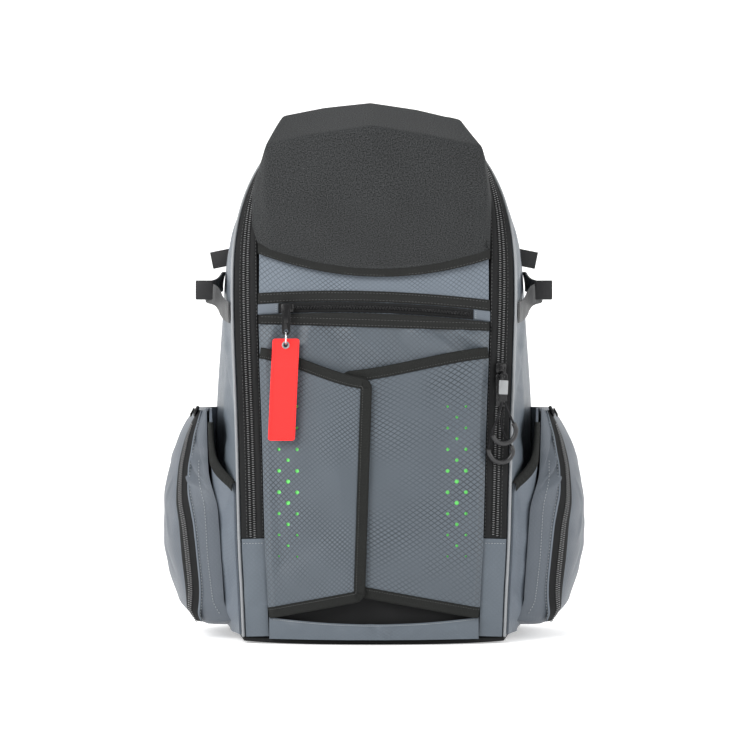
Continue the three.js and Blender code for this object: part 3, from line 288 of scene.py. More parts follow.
VECTOR, FLOAT = "NodeSocketVector", "NodeSocketFloat"

# Ripstop: thin raised threads that cross in diamonds. Lines is 1 on a thread, Cells rises to 1 in a
# diamond's middle.
ripstop, given, result = effect_group(
    "ripstop_diamonds",
    (("Vector", VECTOR, None), ("Width", FLOAT, 0.0052), ("Height", FLOAT, 0.0046)),
    ("Lines", "Cells"),
)
parts = add_node(ripstop, "ShaderNodeSeparateXYZ", {0: given.outputs["Vector"]})
across = math_node(ripstop, "DIVIDE", parts.outputs[0], given.outputs["Width"])
upward = math_node(ripstop, "DIVIDE", parts.outputs[1], given.outputs["Height"])
rising = math_node(ripstop, "PINGPONG", math_node(ripstop, "ADD", across, upward), 0.5)
falling = math_node(ripstop, "PINGPONG", math_node(ripstop, "SUBTRACT", across, upward), 0.5)
nearest = math_node(ripstop, "MULTIPLY", math_node(ripstop, "MINIMUM", rising, falling), 2.0)
line = falling_range(ripstop, nearest, 0.04, 0.2)
ripstop.links.new(line.outputs[0], result.inputs["Lines"])
ripstop.links.new(nearest, result.inputs["Cells"])

# Weave: the over and under of the threads. Height swings between 0 and 1 at the thread pitch.
weave, given, result = effect_group(
    "plain_weave", (("Vector", VECTOR, None), ("Pitch", FLOAT, 0.0009)), ("Height",)
)
parts = add_node(weave, "ShaderNodeSeparateXYZ", {0: given.outputs["Vector"]})
turns = math_node(weave, "DIVIDE", 2 * math.pi, given.outputs["Pitch"])
warp = math_node(weave, "SINE", math_node(weave, "MULTIPLY", parts.outputs[0], turns))
weft = math_node(weave, "SINE", math_node(weave, "MULTIPLY", parts.outputs[1], turns))
height = math_node(weave, "MULTIPLY_ADD", math_node(weave, "MULTIPLY", warp, weft), 0.5, 0.5)
weave.links.new(height, result.inputs["Height"])

# Mottle: soft cloudy variation from 1 - Amount to 1 + Amount, as cloth has from handling and light wear.
mottle, given, result = effect_group(
    "mottle", (("Vector", VECTOR, None), ("Size", FLOAT, 0.05), ("Amount", FLOAT, 0.06)), ("Value",)
)
scale = math_node(mottle, "DIVIDE", 1.0, given.outputs["Size"])
cloud = add_node(mottle, "ShaderNodeTexNoise",
                 {"Vector": given.outputs["Vector"], "Scale": scale, "Detail": 4.0})
signed = math_node(mottle, "MULTIPLY_ADD", cloud.outputs[0], 4.0, -2.0)
value = math_node(mottle, "MULTIPLY_ADD", signed, given.outputs["Amount"], 1.0)
mottle.links.new(value, result.inputs["Value"])


def shade_of(tree, colour, *factors):
    """The colour multiplied by each factor."""
    shade = factors[0]
    for factor in factors[1:]:
        shade = math_node(tree, "MULTIPLY", shade, factor)
    scaled = add_node(tree, "ShaderNodeVectorMath", {0: colour, "Scale": shade}, operation="SCALE")
    return scaled.outputs[0]


# Creases: short pale marks where coated cloth has been folded. Marks is 1 on a mark and 0 elsewhere.
creases, given, result = effect_group(
    "crease_marks", (("Vector", VECTOR, None), ("Size", FLOAT, 0.013)), ("Marks",)
)
scale = math_node(creases, "DIVIDE", 1.0, given.outputs["Size"])
wander = add_node(creases, "ShaderNodeTexNoise",
                  {"Vector": given.outputs["Vector"], "Scale": scale, "Detail": 1.0, "Distortion": 0.4})
ridge = math_node(creases, "ABSOLUTE", math_node(creases, "SUBTRACT", wander.outputs[0], 0.5))
fine_line = falling_range(creases, ridge, 0.006, 0.03)
patch_scale = math_node(creases, "MULTIPLY", scale, 0.6)
patch = add_node(creases, "ShaderNodeTexNoise",
                 {"Vector": given.outputs["Vector"], "Scale": patch_scale, "Detail": 0.0})
patches = add_node(creases, "ShaderNodeMapRange",
                   {"Value": patch.outputs[0], "From Min": 0.52, "From Max": 0.62})
creases.links.new(math_node(creases, "MULTIPLY", fine_line.outputs[0], patches.outputs[0]),
                  result.inputs["Marks"])


def new_material(name, roughness, metallic=0.0, sheen=0.0):
    material = bpy.data.materials.new(name)
    material.use_nodes = True
    shader = material.node_tree.nodes["Principled BSDF"]
    shader.inputs["Roughness"].default_value = roughness
    shader.inputs["Metallic"].default_value = metallic
    shader.inputs["Sheen Weight"].default_value = sheen
    return material, material.node_tree, shader


def effect(tree, group, place, **settings):
    """A node that runs one of the groups at a place on the surface."""
    return add_node(tree, "ShaderNodeGroup", {"Vector": place, **settings}, node_tree=group)


def cloth(name, colour, roughness=0.8, sheen=0.0, pitch=0.0009, diamonds=0.0, ribs=0.0, coordinate="UV",
          cloud=0.06, relief=0.00012, shine=0.12, marks=0.0, speckle=0.0, worn_size=0.07):
    """A woven cloth: plain weave, and crossed threads, ribs, crease marks or speckle where asked for."""
    material, tree, shader = new_material(name, roughness, sheen=sheen)
    shader.inputs["Specular IOR Level"].default_value = shine
    place = add_node(tree, "ShaderNodeTexCoord").outputs[coordinate]
    woven = effect(tree, weave, place, Pitch=pitch)
    clouds = effect(tree, mottle, place, Amount=cloud)
    thread = math_node(tree, "MULTIPLY_ADD", woven.outputs[0], 0.16, 0.92)
    factors = [clouds.outputs[0], thread]
    height = math_node(tree, "MULTIPLY", woven.outputs[0], 0.5)
    if diamonds:
        crossed = effect(tree, ripstop, place)
        worn = effect(tree, mottle, place, Size=worn_size, Amount=1.7)
        shown = add_node(tree, "ShaderNodeClamp",
                         {"Value": worn.outputs[0], "Min": 0.06, "Max": 1.7}).outputs[0]
        dark = math_node(tree, "MULTIPLY", crossed.outputs["Lines"], shown)
        factors.append(math_node(tree, "MULTIPLY_ADD", dark, -diamonds, 1.0))
        light = math_node(tree, "MULTIPLY", crossed.outputs["Cells"], shown)
        factors.append(math_node(tree, "MULTIPLY_ADD", light, diamonds * 0.5, 1.0))
        height = math_node(tree, "MULTIPLY_ADD", crossed.outputs["Cells"], 0.9, height)
    if ribs:
        parts = add_node(tree, "ShaderNodeSeparateXYZ", {0: place})
        wave = math_node(tree, "SINE", math_node(tree, "MULTIPLY", parts.outputs[0], 2 * math.pi / ribs))
        factors.append(math_node(tree, "MULTIPLY_ADD", wave, 0.12, 0.98))
        height = math_node(tree, "MULTIPLY_ADD", wave, 0.8, height)
    if marks:
        creased = effect(tree, creases, place)
        factors.append(math_node(tree, "MULTIPLY_ADD", creased.outputs[0], marks, 1.0))
    if speckle:
        grain = add_node(tree, "ShaderNodeTexNoise", {"Vector": place, "Scale": 900.0, "Detail": 1.0})
        factors.append(math_node(tree, "MULTIPLY_ADD", grain.outputs[0], 4 * speckle, 1 - 2 * speckle))
        height = math_node(tree, "MULTIPLY_ADD", grain.outputs[0], 1.0, height)
    tree.links.new(shade_of(tree, colour, *factors), shader.inputs["Base Color"])
    bump = add_node(tree, "ShaderNodeBump", {"Height": height, "Distance": relief, "Strength": 0.7})
    tree.links.new(bump.outputs[0], shader.inputs["Normal"])
    return material


# Painted shading: one grey ripstop in several copies, each set lighter or darker for the light and shade
# its pieces get. The flaps and slack panel are darkest and the upper panel is lightest.
DARK_GREY_PAINTED_SHADE, SIDE_GREY_PAINTED_SHADING = (0.065, 0.078, 0.092), (0.082, 0.098, 0.116)
grey_side_painted_shading = cloth("grey_ripstop_side_painted_shading", SIDE_GREY_PAINTED_SHADING, roughness=0.45, diamonds=0.06, shine=0.3, marks=0.09)


def ripple(point, size, amount):
    """Smooth unevenness of a cloth surface, in mm, at a point in mm."""
    return amount * noise.noise(Vector(point) / size)


def folds(a, b, table):
    """The height of a table's folds at (a, b), in mm. A fold is a line from one point to another with a
    half width, in the points' measure, and a height in mm.
    """
    total = 0.0
    for a0, b0, a1, b1, width, height in table:
        da, db = a1 - a0, b1 - b0
        t = max(0.0, min(((a - a0) * da + (b - b0) * db) / (da * da + db * db), 1.0))
        distance = math.hypot(a - a0 - t * da, b - b0 - t * db)
        total += height * math.exp(-((distance / width) ** 2)) * (0.45 + 0.55 * math.sin(math.pi * t))
    return total


wall_folds = (
    # hundredths of the way back and height in mm of one end, of the other, half width, height
    (3, 218, 38, 282, 5, -4.6), (5, 240, 34, 302, 7, 5.2), (2, 200, 34, 246, 6, 4.0),
    (14, 214, 40, 186, 6, -2.6), (8, 290, 30, 250, 5, -2.4), (20, 330, 75, 262, 10, 1.8),
    (45, 300, 90, 240, 8, -1.8), (30, 395, 80, 360, 12, 1.6), (7, 162, 30, 184, 16, 7.0),
    (12, 200, 34, 224, 14, 5.5), (4, 372, 34, 420, 9, -2.6), (3, 338, 26, 384, 8, 2.4),
    (2, 70, 30, 40, 6, 1.8), (3, 130, 30, 100, 7, -1.6),
)


def wall_place(u, v):
    s = u * whole_arch
    point = wall_point(s, v)
    loose = math.sin(math.pi * v)
    lift = folds(v * 100, point.z, wall_folds) * loose ** 0.5
    lift += ripple(point, 26, 1.1) * loose
    point = wall_point(s, v, lift)
    return (point.x, point.y, max(point.z, mix(corner_gap, floor_gap, ease(v, 0, 0.2))))


body_wall = grid_piece("bag_body_wall", 220, 36, wall_place, (1260, 182))
thicken(body_wall, 3)
finish_piece(body_wall, grey_side_painted_shading, "grey_cloth", "body_wall")

grey_seam = cloth("grey_cloth_edge", (0.1, 0.117, 0.138), roughness=0.6, shine=0.3)
black_cloth = cloth("black_cloth", (0.0085, 0.0088, 0.0092), roughness=0.7, shine=0.15)
grosgrain = cloth("black_grosgrain", (0.0155, 0.016, 0.0155), roughness=0.8, ribs=0.0011, speckle=0.2)
fine_grain = 0.0006


def plain_material(name, colour, roughness, metallic=0.0, wear=0.05, relief=0.00002, gloss=0.5):
    """A hard or moulded finish with slight unevenness in its colour and its surface."""
    material, tree, shader = new_material(name, roughness, metallic)
    place = add_node(tree, "ShaderNodeTexCoord").outputs["Object"]
    clouds = effect(tree, mottle, place, Size=0.012, Amount=wear)
    tree.links.new(shade_of(tree, colour, clouds.outputs[0]), shader.inputs["Base Color"])
    fine = add_node(tree, "ShaderNodeTexNoise", {"Vector": place, "Scale": 1 / fine_grain, "Detail": 2.0})
    bump = add_node(tree, "ShaderNodeBump",
                    {"Height": fine.outputs[0], "Distance": relief, "Strength": 0.5})
    tree.links.new(bump.outputs[0], shader.inputs["Normal"])
    shader.inputs["Specular IOR Level"].default_value = gloss
    return material


# Base: the stiff slab in black cloth that the bag stands on, under the walls. It is crowned at the front,
# and its edge is rounded off all round.
base_thickness = 5


def base_place(u, v):
    foot, rear = wall_front(whole_arch), rear_edge(whole_arch)
    share = 2 * u - 1
    front_y = foot.y - (door_crown + 5) * (1 - share * share)
    rear_y = rear.y + 6 - 11 * max(0.0, abs(share) - 0.9) ** 2 / 0.01
    return (share * mix(foot.x - 1, rear.x - 1, v), mix(front_y, rear_y, v), 2.4 * share ** 4)


bag_base = grid_piece("bag_base", 40, 30, base_place, (300, 190))
thicken(bag_base, base_thickness)
apply(bag_base, "BEVEL", width=1.2 * MM, segments=3, limit_method="ANGLE")
finish_piece(bag_base, black_cloth, "black_cloth", "base")


def tube_piece(name, path, radius, count, sides=12):
    """A round tube along path(t) for t from 0 to 1, in mm, with closed ends."""
    bpy.ops.object.select_all(action="DESELECT")
    bpy.ops.curve.primitive_nurbs_path_add()
    curve = bpy.context.object
    curve.name = name
    curve.data.splines.clear()
    spline = curve.data.splines.new("POLY")
    spline.points.add(count - 1)
    for i, point in enumerate(spline.points):
        point.co = (*(Vector(path(i / (count - 1))) * MM), 1)
    curve.data.twist_mode = "MINIMUM"
    curve.data.bevel_depth = radius * MM
    curve.data.bevel_resolution = max(0, (sides - 4) // 2)
    curve.data.use_fill_caps = True
    bpy.ops.object.convert(target="MESH")
    return bpy.context.object


def last_below(count, is_below):
    """The last index from 0 to count - 1 at which is_below holds, found by halving."""
    low, high = 0, count
    while high - low > 1:
        middle = (low + high) // 2
        if is_below(middle):
            low = middle
        else:
            high = middle
    return low


arch_steps = 400


def arch_place(start, end):
    """Maps t from 0 to 1 onto the arch from start to end, evenly by length, and gives the length."""
    marks = [start + (end - start) * i / arch_steps for i in range(arch_steps + 1)]
    points = [door_edge(s) for s in marks]
    lengths = [0.0]
    for a, b in zip(points, points[1:]):
        lengths.append(lengths[-1] + (b - a).length)

    def at(t):
        target = t * lengths[-1]
        low = last_below(arch_steps, lambda i: lengths[i] < target)
        span = max(lengths[low + 1] - lengths[low], 1e-9)
        return mix(marks[low], marks[low + 1], (target - lengths[low]) / span)

    return at, lengths[-1]


# Edge piping: a pale reflective cord in a thin sleeve, sewn all round the front edge of the wall, beside
# the main zip's tape.
pale_piping = plain_material("pale_piping", (0.2, 0.21, 0.22), 0.4)
piping_show = 1.35
around = arch_place(0, whole_arch)[0]


def piping_path(t):
    point = piping_centre(around(t))
    return Vector((point.x, point.y, max(point.z, corner_gap + piping_radius)))


piping = tube_piece("bag_edge_piping", piping_path, piping_show, 320)
finish_piece(piping, pale_piping, "piping", "edge_piping", angle=180)

# Main zip: a black tape with a soft raised roll along its inner side and a flat strip along its outer
# side, and the closed coil between them.
coil_width = 7.0
coil_from = (band_width - coil_width) / 2
zip_at, zip_length = arch_place(2, whole_arch - 2)


def tape_profile(width):
    roll_width = coil_from - 0.4
    roll = math.sin(math.pi * (width / roll_width)) ** 0.6 * 1.5 if width < roll_width else 0.0
    flat = 0.9 * ease(width, coil_from + coil_width + 0.2, coil_from + coil_width + 1.2)
    return roll + flat * (1 - 0.5 * ease(width, band_width - 1.2, band_width))


def tape_place(u, v):
    width = v * band_width
    return band_point(zip_at(u), width,
                      tape_profile(width) + ripple((u * zip_length, width * 2, 0), 14, 0.7))


zip_tape = grid_piece("main_zip_tape_cloth", 420, 30, tape_place, (zip_length, band_width))
thicken(zip_tape, 1.5)
finish_piece(zip_tape, black_cloth, "black_cloth", "main_zip_tape", angle=60)


def copies(name, model, matrices):
    """One mesh made of a copy of the model's faces for each matrix, in metres."""
    points = [v.co.copy() for v in model.data.vertices]
    faces = [tuple(f.vertices) for f in model.data.polygons]
    all_points, all_faces = [], []
    for matrix in matrices:
        first = len(all_points)
        all_points += [matrix @ p for p in points]
        all_faces += [tuple(first + i for i in face) for face in faces]
    mesh = bpy.data.meshes.new(name)
    mesh.from_pydata(all_points, [], all_faces)
    joined = bpy.data.objects.new(name, mesh)
    bpy.context.collection.objects.link(joined)
    return joined


def frame_at(along, facing, place):
    """The matrix that puts x along a direction and z off the surface, at a place in mm."""
    x = Vector(along).normalized()
    y = Vector(facing).cross(x).normalized()
    z = x.cross(y)
    turned = Matrix((x, y, z)).transposed().to_4x4()
    return Matrix.Translation(Vector(place) * MM) @ turned


def rounded_model(length, width, height, segments=8, rings=6):
    """A small bead that is copied many times, such as a stitch or a zip's tooth, with its ends along x."""
    bpy.ops.object.select_all(action="DESELECT")
    bpy.ops.mesh.primitive_uv_sphere_add(segments=segments, ring_count=rings, radius=0.5)
    model = bpy.context.object
    bpy.ops.transform.resize(value=(length * MM, width * MM, height * MM))
    bpy.ops.object.transform_apply(location=False, rotation=False, scale=True)
    return model


def remove(piece):
    bpy.data.objects.remove(piece, do_unlink=True)


zip_plastic = plain_material("zip_plastic", (0.006, 0.006, 0.0065), 0.2, relief=0.00003, gloss=0.3)
# Painted highlight: the zip coils are black moulding, and their teeth are coloured light grey for the
# glints along them.
zip_teeth_painted_glint = plain_material("zip_teeth_painted_glint", (0.13, 0.132, 0.134), 0.3, relief=0.00003)
tooth_pitch = 2.15
tooth = rounded_model(2.5, 1.0, 1.4)
tooth_places = []
for index in range(int(zip_length / tooth_pitch)):
    for side in (-1, 1):
        t = (index + 0.5 + side * 0.25) * tooth_pitch / zip_length
        s = zip_at(min(t, 1.0))
        across, facing = band_axes(s)
        tooth_places.append(frame_at(across, facing, band_point(s, band_width / 2 + side * 2.0, 1.05)))
main_coil = copies("main_zip_teeth", tooth, tooth_places)
remove(tooth)
finish_piece(main_coil, zip_teeth_painted_glint, "zip_plastic", "main_zip_coil", angle=180)

thread_dark = plain_material("dark_thread", (0.05, 0.051, 0.051), 0.6)
thread_pale = plain_material("pale_thread", (0.3, 0.32, 0.33), 0.7)


def sew(name, path, facing, length, material, pitch=3.4, long=2.5, thick=0.55):
    """A row of stitches along path(t) for t from 0 to 1, in mm, on the side that facing(t) points to."""
    stitch = rounded_model(long, thick, thick * 0.8, segments=6, rings=4)
    count = max(2, int(length / pitch))
    places = []
    for i in range(count):
        t = (i + 0.5) / count
        nudge = 0.2 / count
        along = Vector(path(t + nudge)) - Vector(path(t - nudge))
        places.append(frame_at(along, facing(t), path(t)))
    row = copies(name, stitch, places)
    remove(stitch)
    return finish_piece(row, material, "grey_cloth", angle=180)


for name, width in (("zip_seam_outer", coil_from + coil_width + 2.0), ("zip_seam_inner", 0.9)):
    sew(name, lambda t, width=width: band_point(zip_at(t), width, 1.15), lambda t: band_axes(zip_at(t))[1],
        zip_length, thread_dark)

# Heel panels: grey cloth below each end of the main zip, folded under at the top and sewn with a pale row.
for side, start in (("right", whole_arch), ("left", 0)):
    step = -1 if start else 1

    def heel_place(u, v, start=start, step=step):
        s = start + step * (2 - 0.01) * v
        width = u * band_width
        puff = 1.2 * math.sin(math.pi * u) ** 0.5 * (0.4 + 0.6 * math.sin(math.pi * min(v * 1.02, 1)))
        point = band_point(s, width, 0.2 + puff + ripple((u * 20, v * 60, start), 12, 0.8))
        return (point.x, point.y, max(point.z, mix(floor_gap, corner_gap, u)))

    heel = grid_piece(f"heel_panel_{side}_cloth", 14, 44, heel_place, (band_width, 90))
    thicken(heel, 2.6)
    finish_piece(heel, grey_side_painted_shading, "grey_cloth", f"heel_panel_{side}")
    top = start + step * 1.93
    sew(f"heel_seam_{side}", lambda t: band_point(top, 1 + t * 20, 1.15), lambda t: band_axes(top)[1],
        20, thread_pale, 2.6, 1.9)

# The door's front surface, and a quick way from a height to the outline's row.
row_steps = 40
row_heights = [outline_at(DOOR_UP, i / row_steps) * arch_height for i in range(row_steps * top_row + 1)]


def door_row(z):
    if z <= row_heights[0]:
        return 0.0
    low = last_below(len(row_heights) - 1, lambda i: row_heights[i] < z)
    span = max(row_heights[low + 1] - row_heights[low], 1e-9)
    return (low + (z - row_heights[low]) / span) / row_steps


def door_half(z):
    """Half the door's width at a height."""
    return outline_at(DOOR, door_row(z)) * door_width / 2


def front(x, z):
    """The y of the door's surface."""
    t = door_row(z)
    share = x / (outline_at(DOOR, t) * door_width / 2)
    return -outline_at(REACH, t) * front_reach - door_crown * (1 - share * share)


def on_front(x, z, lift=0.0):
    return Vector((x, front(x, z) - lift, z))


hem_height, hem_rise, hem_tilt, hem_binding = 345, 20, 2.6, 9
zip_top_height, zip_tilt, zip_sag = 331.6, 3.3, 4.9
top_band, front_zip, lower_band_size, lower_band_dip = 10.3, 10.3, 8.5, 5
lining_top = 288


def share_squared(x):
    return (x / (door_width / 2)) ** 2


def hem(x):
    """The lower edge of the binding on the cap's hem."""
    return hem_height + hem_rise * share_squared(x) - hem_tilt * x / (door_width / 2)


def hem_top(x):
    """The upper edge of that binding, which shows narrower in the middle."""
    return hem(x) + mix(0.62, 0.9, share_squared(x)) * hem_binding


def zip_top(x):
    return zip_top_height - zip_tilt * x / (door_width / 2) - zip_sag * share_squared(x)


def zip_slot(x, share):
    return zip_top(x) - top_band - front_zip * share


def lower_band_foot(x):
    """The lower edge of the band below the front zip, which dips in the middle."""
    return zip_slot(x, 1) - lower_band_size - lower_band_dip * (1 - share_squared(x))


FORWARD = Vector((0, -1, 0))

# Upper panel: soft ripstop between the cap's hem and the front zip. It is sewn to the door's sides and held
# under the bindings above and below it.
# Painted light: the upper panel's copy of the grey ripstop is the lightest, as if the panel faces up into
# the light.
grey_front_painted_light = cloth("grey_ripstop_front_painted_light", (0.106, 0.126, 0.15), roughness=0.5, diamonds=0.42, shine=0.3)


def upper_place(u, v):
    x = mix(0.6 - door_half(lining_top), door_half(lining_top) - 0.6, u)
    z = mix(lining_top + 0.3, hem_top(x) - 0.5, v)
    return on_front(x, z, ripple((x, z, 0), 24, 0.9))


upper = grid_piece("upper_panel_cloth", 100, 40, upper_place, (215, 75))
thicken(upper, 2.5)
finish_piece(upper, grey_front_painted_light, "grey_cloth", "upper_panel")


# Pocket lining: the black cloth of the lower door, behind the flaps, sewn in at the door's sides and at
# its foot.
def lining_place(u, v):
    z = mix(floor_gap, lining_top, v)
    x = (2 * u - 1) * (door_half(z) - 0.6)
    return on_front(x, z, ripple((x, z, 5), 30, 1.2) - 0.6)


lining = grid_piece("pocket_lining_cloth", 60, 60, lining_place, (210, 280))
thicken(lining, 2)
finish_piece(lining, black_cloth, "black_cloth", "pocket_lining")

# Cap: a shell of moulded foam with a creased brow and a peaked ridge. It is charted as a net of shares of
# the door's half width, its reach and the arch's height, and its sides follow the door's edge.
cap_thickness, cap_edge_gap, cap_edge_lift = 4, 1.4, 3
cap_side, cap_middle = 0.965, 0.527
cap_edge_rows = (5.5, 7, 8, 8.8, 9.2)
cap_net = (
    # side, middle and centre, each as (across, forward, up)
    ((0.945, 1.034, 0.84), (0.5, 1.114, 0.836), (0.0, 1.136, 0.832)),
    ((0.915, 0.932, 0.938), (0.491, 1.011, 0.957), (0.0, 1.045, 0.974)),
    ((0.764, 0.432, 0.998), (0.4, 0.375, 1.018), (0.0, 0.341, 1.032)),
)
cap_rear = (9.2, 10.2, 11.2, 12)
cap_columns = (1.0, 0.9, 0.5, 0.0)
cap_rows = (0.0, 0.36, 0.62, 0.93, 1.0)


def cap_edge(t):
    return band_point(whole_arch - t, -cap_edge_gap, cap_edge_lift)


def cap_hem(share):
    x = share * (door_half(hem(share * door_width / 2)) - cap_edge_gap)
    return on_front(x, hem_top(x) + 1.3, 0.4 + cap_thickness)


def cap_control(row, column):
    """A point of the net's right-hand half: rows 0 at the hem to 4 behind, columns 0 at the edge to 3."""
    if row == 0:
        return cap_hem((1, cap_side, cap_middle, 0)[column])
    if row == 4:
        return cap_edge(cap_rear[column])
    if column == 0:
        return cap_edge(cap_edge_rows[row])
    x, y, z = cap_net[row - 1][column - 1]
    return Vector((x * door_width / 2, -y * front_reach, z * arch_height))


# The cap leans a little to the left, where its side face shows, and its right-hand crease lies close to
# its edge.
cap_lean, cap_left_rise, crease_out, cap_left_reach = -3.5, 4.6, 1.03, 6


def cap_place(u, v):
    side = 1 if u >= 0.5 else -1
    across = abs(2 * u - 1)
    c = next(i for i in range(3) if across >= cap_columns[i + 1])
    cf = (cap_columns[c] - across) / (cap_columns[c] - cap_columns[c + 1])
    r = next(i for i in range(4) if v <= cap_rows[i + 1] or i == 3)
    rf = (v - cap_rows[r]) / (cap_rows[r + 1] - cap_rows[r])
    low = cap_hem(across) if r == 0 else cap_control(r, c).lerp(cap_control(r, c + 1), cf)
    high = cap_control(r + 1, c).lerp(cap_control(r + 1, c + 1), cf)
    if r == 3:
        high = cap_edge(mix(cap_rear[c], cap_rear[c + 1], cf))
    point = low.lerp(high, rf)
    crown = ease(v, cap_rows[1], cap_rows[3]) * (1 - ease(v, cap_rows[3], 1)) * (1 - ease(across, 0.9, 1))
    x = point.x * side * (crease_out if side > 0 and 0.8 < across < 1 else 1)
    if side < 0:
        x -= cap_left_reach * ease(across, 0.9, 1) * ease(v, 0, 0.2) * (1 - ease(v, 0.5, 0.8))
    return (x + cap_lean * crown, point.y, point.z + cap_left_rise * crown * max(0.0, -x / door_width * 2))


foam_cap = cloth("cap_foam_cloth", (0.0235, 0.0247, 0.0254), roughness=0.75, pitch=0.0011, cloud=0.08,
                 relief=0.00008, shine=0.14, speckle=0.9)
cap_across, cap_along = 120, 100
cap = grid_piece("cap_shell_foam", cap_across, cap_along, cap_place, (215, 230))
hold = cap.vertex_groups.new(name="inside")
inside = [
    v.index for v in cap.data.vertices
    if 0 < v.index % (cap_across + 1) < cap_across and 0 < v.index // (cap_across + 1) < cap_along
]
hold.add(inside, 1.0, "REPLACE")
apply(cap, "SMOOTH", factor=0.5, iterations=5, vertex_group="inside")
thicken(cap, cap_thickness)
finish_piece(cap, foam_cap, "foam_cap", "cap_shell", angle=60)
for index, row in enumerate((2.2, 5.6)):
    def cap_row(t, row=row):
        x = (2 * t - 1) * (door_half(hem_height) - 3)
        return on_front(x, hem_top(x) + 1.3 + row, 0.4 + cap_thickness + 0.15 + row * 0.03)

    sew(f"cap_seam_{index}", cap_row, lambda t: FORWARD, 218, thread_dark, 2.4, 1.8, 0.5)


def band_piece(name, left, right, low, high, lift, size, material, node,
               bulge=0.5, thick=1.7, columns=110, wrinkle=0.2):
    """A tape across the door from x = left to right, between the heights low(x) and high(x)."""
    def place(u, v):
        x = mix(left, right, u)
        z = mix(low(x), high(x), v)
        raised = bulge * math.sin(math.pi * v) ** 0.4
        return on_front(x, z, lift + raised + ripple((x, z, left), 14, wrinkle))

    tape = grid_piece(name, columns, 12, place, size)
    thicken(tape, thick)
    return finish_piece(tape, material, "black_cloth", node)


def door_rows(name, half, height, offsets, lift, length):
    """Rows of stitches from side to side of the door, each at an offset from the line height(x)."""
    for index, offset in enumerate(offsets):
        def row(t, offset=offset):
            x = mix(-half, half, t)
            return on_front(x, height(x) + offset, lift)

        sew(f"{name}_seam_{index}", row, lambda t: FORWARD, length, thread_dark, 3.0, 2.2)


# Cap binding: a grosgrain tape along the cap's hem, from one side of the door to the other, sewn down with
# two rows of dark stitches.
hem_half = door_half(hem_height) - 0.6
band_piece("cap_binding_tape", -hem_half, hem_half, hem, lambda x: hem_top(x) + 2.0, 4.6,
           (218, 9), grosgrain, "cap_binding", bulge=0.8)
door_rows("cap_binding", hem_half - 2, hem, (1.6, 4.8), 5.1, 214)

# Front zip: a grosgrain band above it and a folded one below, with a fine coil between them and a grey
# tab at each end.
strip_half = door_half(zip_top_height) - 0.6
band_piece("top_band_tape", -strip_half, strip_half, lambda x: zip_top(x) - top_band, zip_top, 0.9,
           (218, 10), grosgrain, "top_band", bulge=0.9)
door_rows("top_band", strip_half - 2, zip_top, (-2.0, -8.4), 1.95, 214)
zip_from, zip_to, front_tooth_pitch = -89.4, 93.3, 1.35


def slot_foot(x):
    return zip_slot(x, 0.96)


def slot_top(x):
    return zip_slot(x, 0.04)


band_piece("front_zip_cloth", zip_from, zip_to, slot_foot, slot_top, 0.8, (183, 9.5), black_cloth,
           "front_zip_tape", bulge=0.2, thick=1)
tooth = rounded_model(4.6, 1.0, 1.3)
tooth_places = []
for index in range(int((zip_to - zip_from - 4) / front_tooth_pitch)):
    x = zip_from + 2 + (index + 0.5) * front_tooth_pitch
    slant = 0.25 if index % 2 else -0.25
    tooth_places.append(frame_at((slant, 0, 1), FORWARD, on_front(x, zip_slot(x, 0.5), 2.0)))
front_coil = copies("front_zip_teeth", tooth, tooth_places)
remove(tooth)
finish_piece(front_coil, zip_plastic, "zip_plastic", "front_zip_coil", angle=180)
for side, left, right in (("left", -strip_half, zip_from - 0.6), ("right", zip_to + 0.6, strip_half)):
    band_piece(f"zip_tab_{side}_cloth", left, right, slot_foot, slot_top, 1.2, (right - left, 9.5),
               grey_seam, f"zip_tab_{side}", bulge=0.7, columns=12)

    def tab_row(t, inner=zip_from - 2.4 if side == "left" else zip_to + 2.4):
        return on_front(inner, zip_slot(inner, 0.12 + 0.76 * t), 2.1)

    sew(f"zip_tab_seam_{side}", tab_row, lambda t: FORWARD, 8, thread_pale, 1.9, 1.4)
band_piece("lower_band_tape", 1 - door_half(311), door_half(311) - 1, lower_band_foot,
           lambda x: zip_slot(x, 1) - 0.3, 3.6, (216, 12), grosgrain, "lower_band", bulge=1.3, wrinkle=0.5)
door_rows("lower_band", strip_half - 3, lower_band_foot, (1.8, 7.0), 5.25, 212)

# Zip pocket panel: slack ripstop from the lower band down behind the flaps, drawn up into folds below the
# band.
pocket_folds = (
    # x and z of one end, x and z of the other, half width, height
    (-92, 302, -104, 268, 6, 3.2), (-74, 301, -88, 262, 6, -2.8), (-58, 300, -72, 258, 7, 2.6),
    (-44, 300, -20, 262, 8, -2.4), (-30, 298, 14, 268, 7, 2.2), (14, 300, 44, 262, 8, -3.0),
    (34, 300, 76, 270, 8, 3.2), (56, 299, 100, 266, 6, -3.2), (74, 300, 108, 278, 5, 3.2),
    (88, 302, 106, 290, 4, 2.0), (-106, 292, -70, 280, 5, 1.8),
)
pocket_foot = 238


def pocket_panel_place(u, v):
    x = (2 * u - 1) * (door_half(mix(pocket_foot, 302, v)) - 0.7)
    z = mix(pocket_foot, lower_band_foot(x) + lower_band_size / 2, v)
    slack = min(1.0, (1 - v) * 8)
    edge = min(1.0, min(u, 1 - u) * 30)
    lift = (folds(x, z, pocket_folds) + 1.6 * math.sin(math.pi * min(v, 1.0))
            + ripple((x, z, 9), 15, 0.9)) * slack * edge
    return on_front(x, z, 2.3 + lift)


pocket_panel = grid_piece("zip_pocket_panel_cloth", 190, 80, pocket_panel_place, (212, 62))
thicken(pocket_panel, 1.2)
# Painted shade: the slack panel takes the darkest copy of the grey ripstop.
slack_grey_painted_shade = cloth("grey_ripstop_slack_painted_shade", DARK_GREY_PAINTED_SHADE, roughness=0.45, diamonds=0.5, shine=0.35, worn_size=0.07)
finish_piece(pocket_panel, slack_grey_painted_shade, "grey_cloth", "zip_pocket_panel")

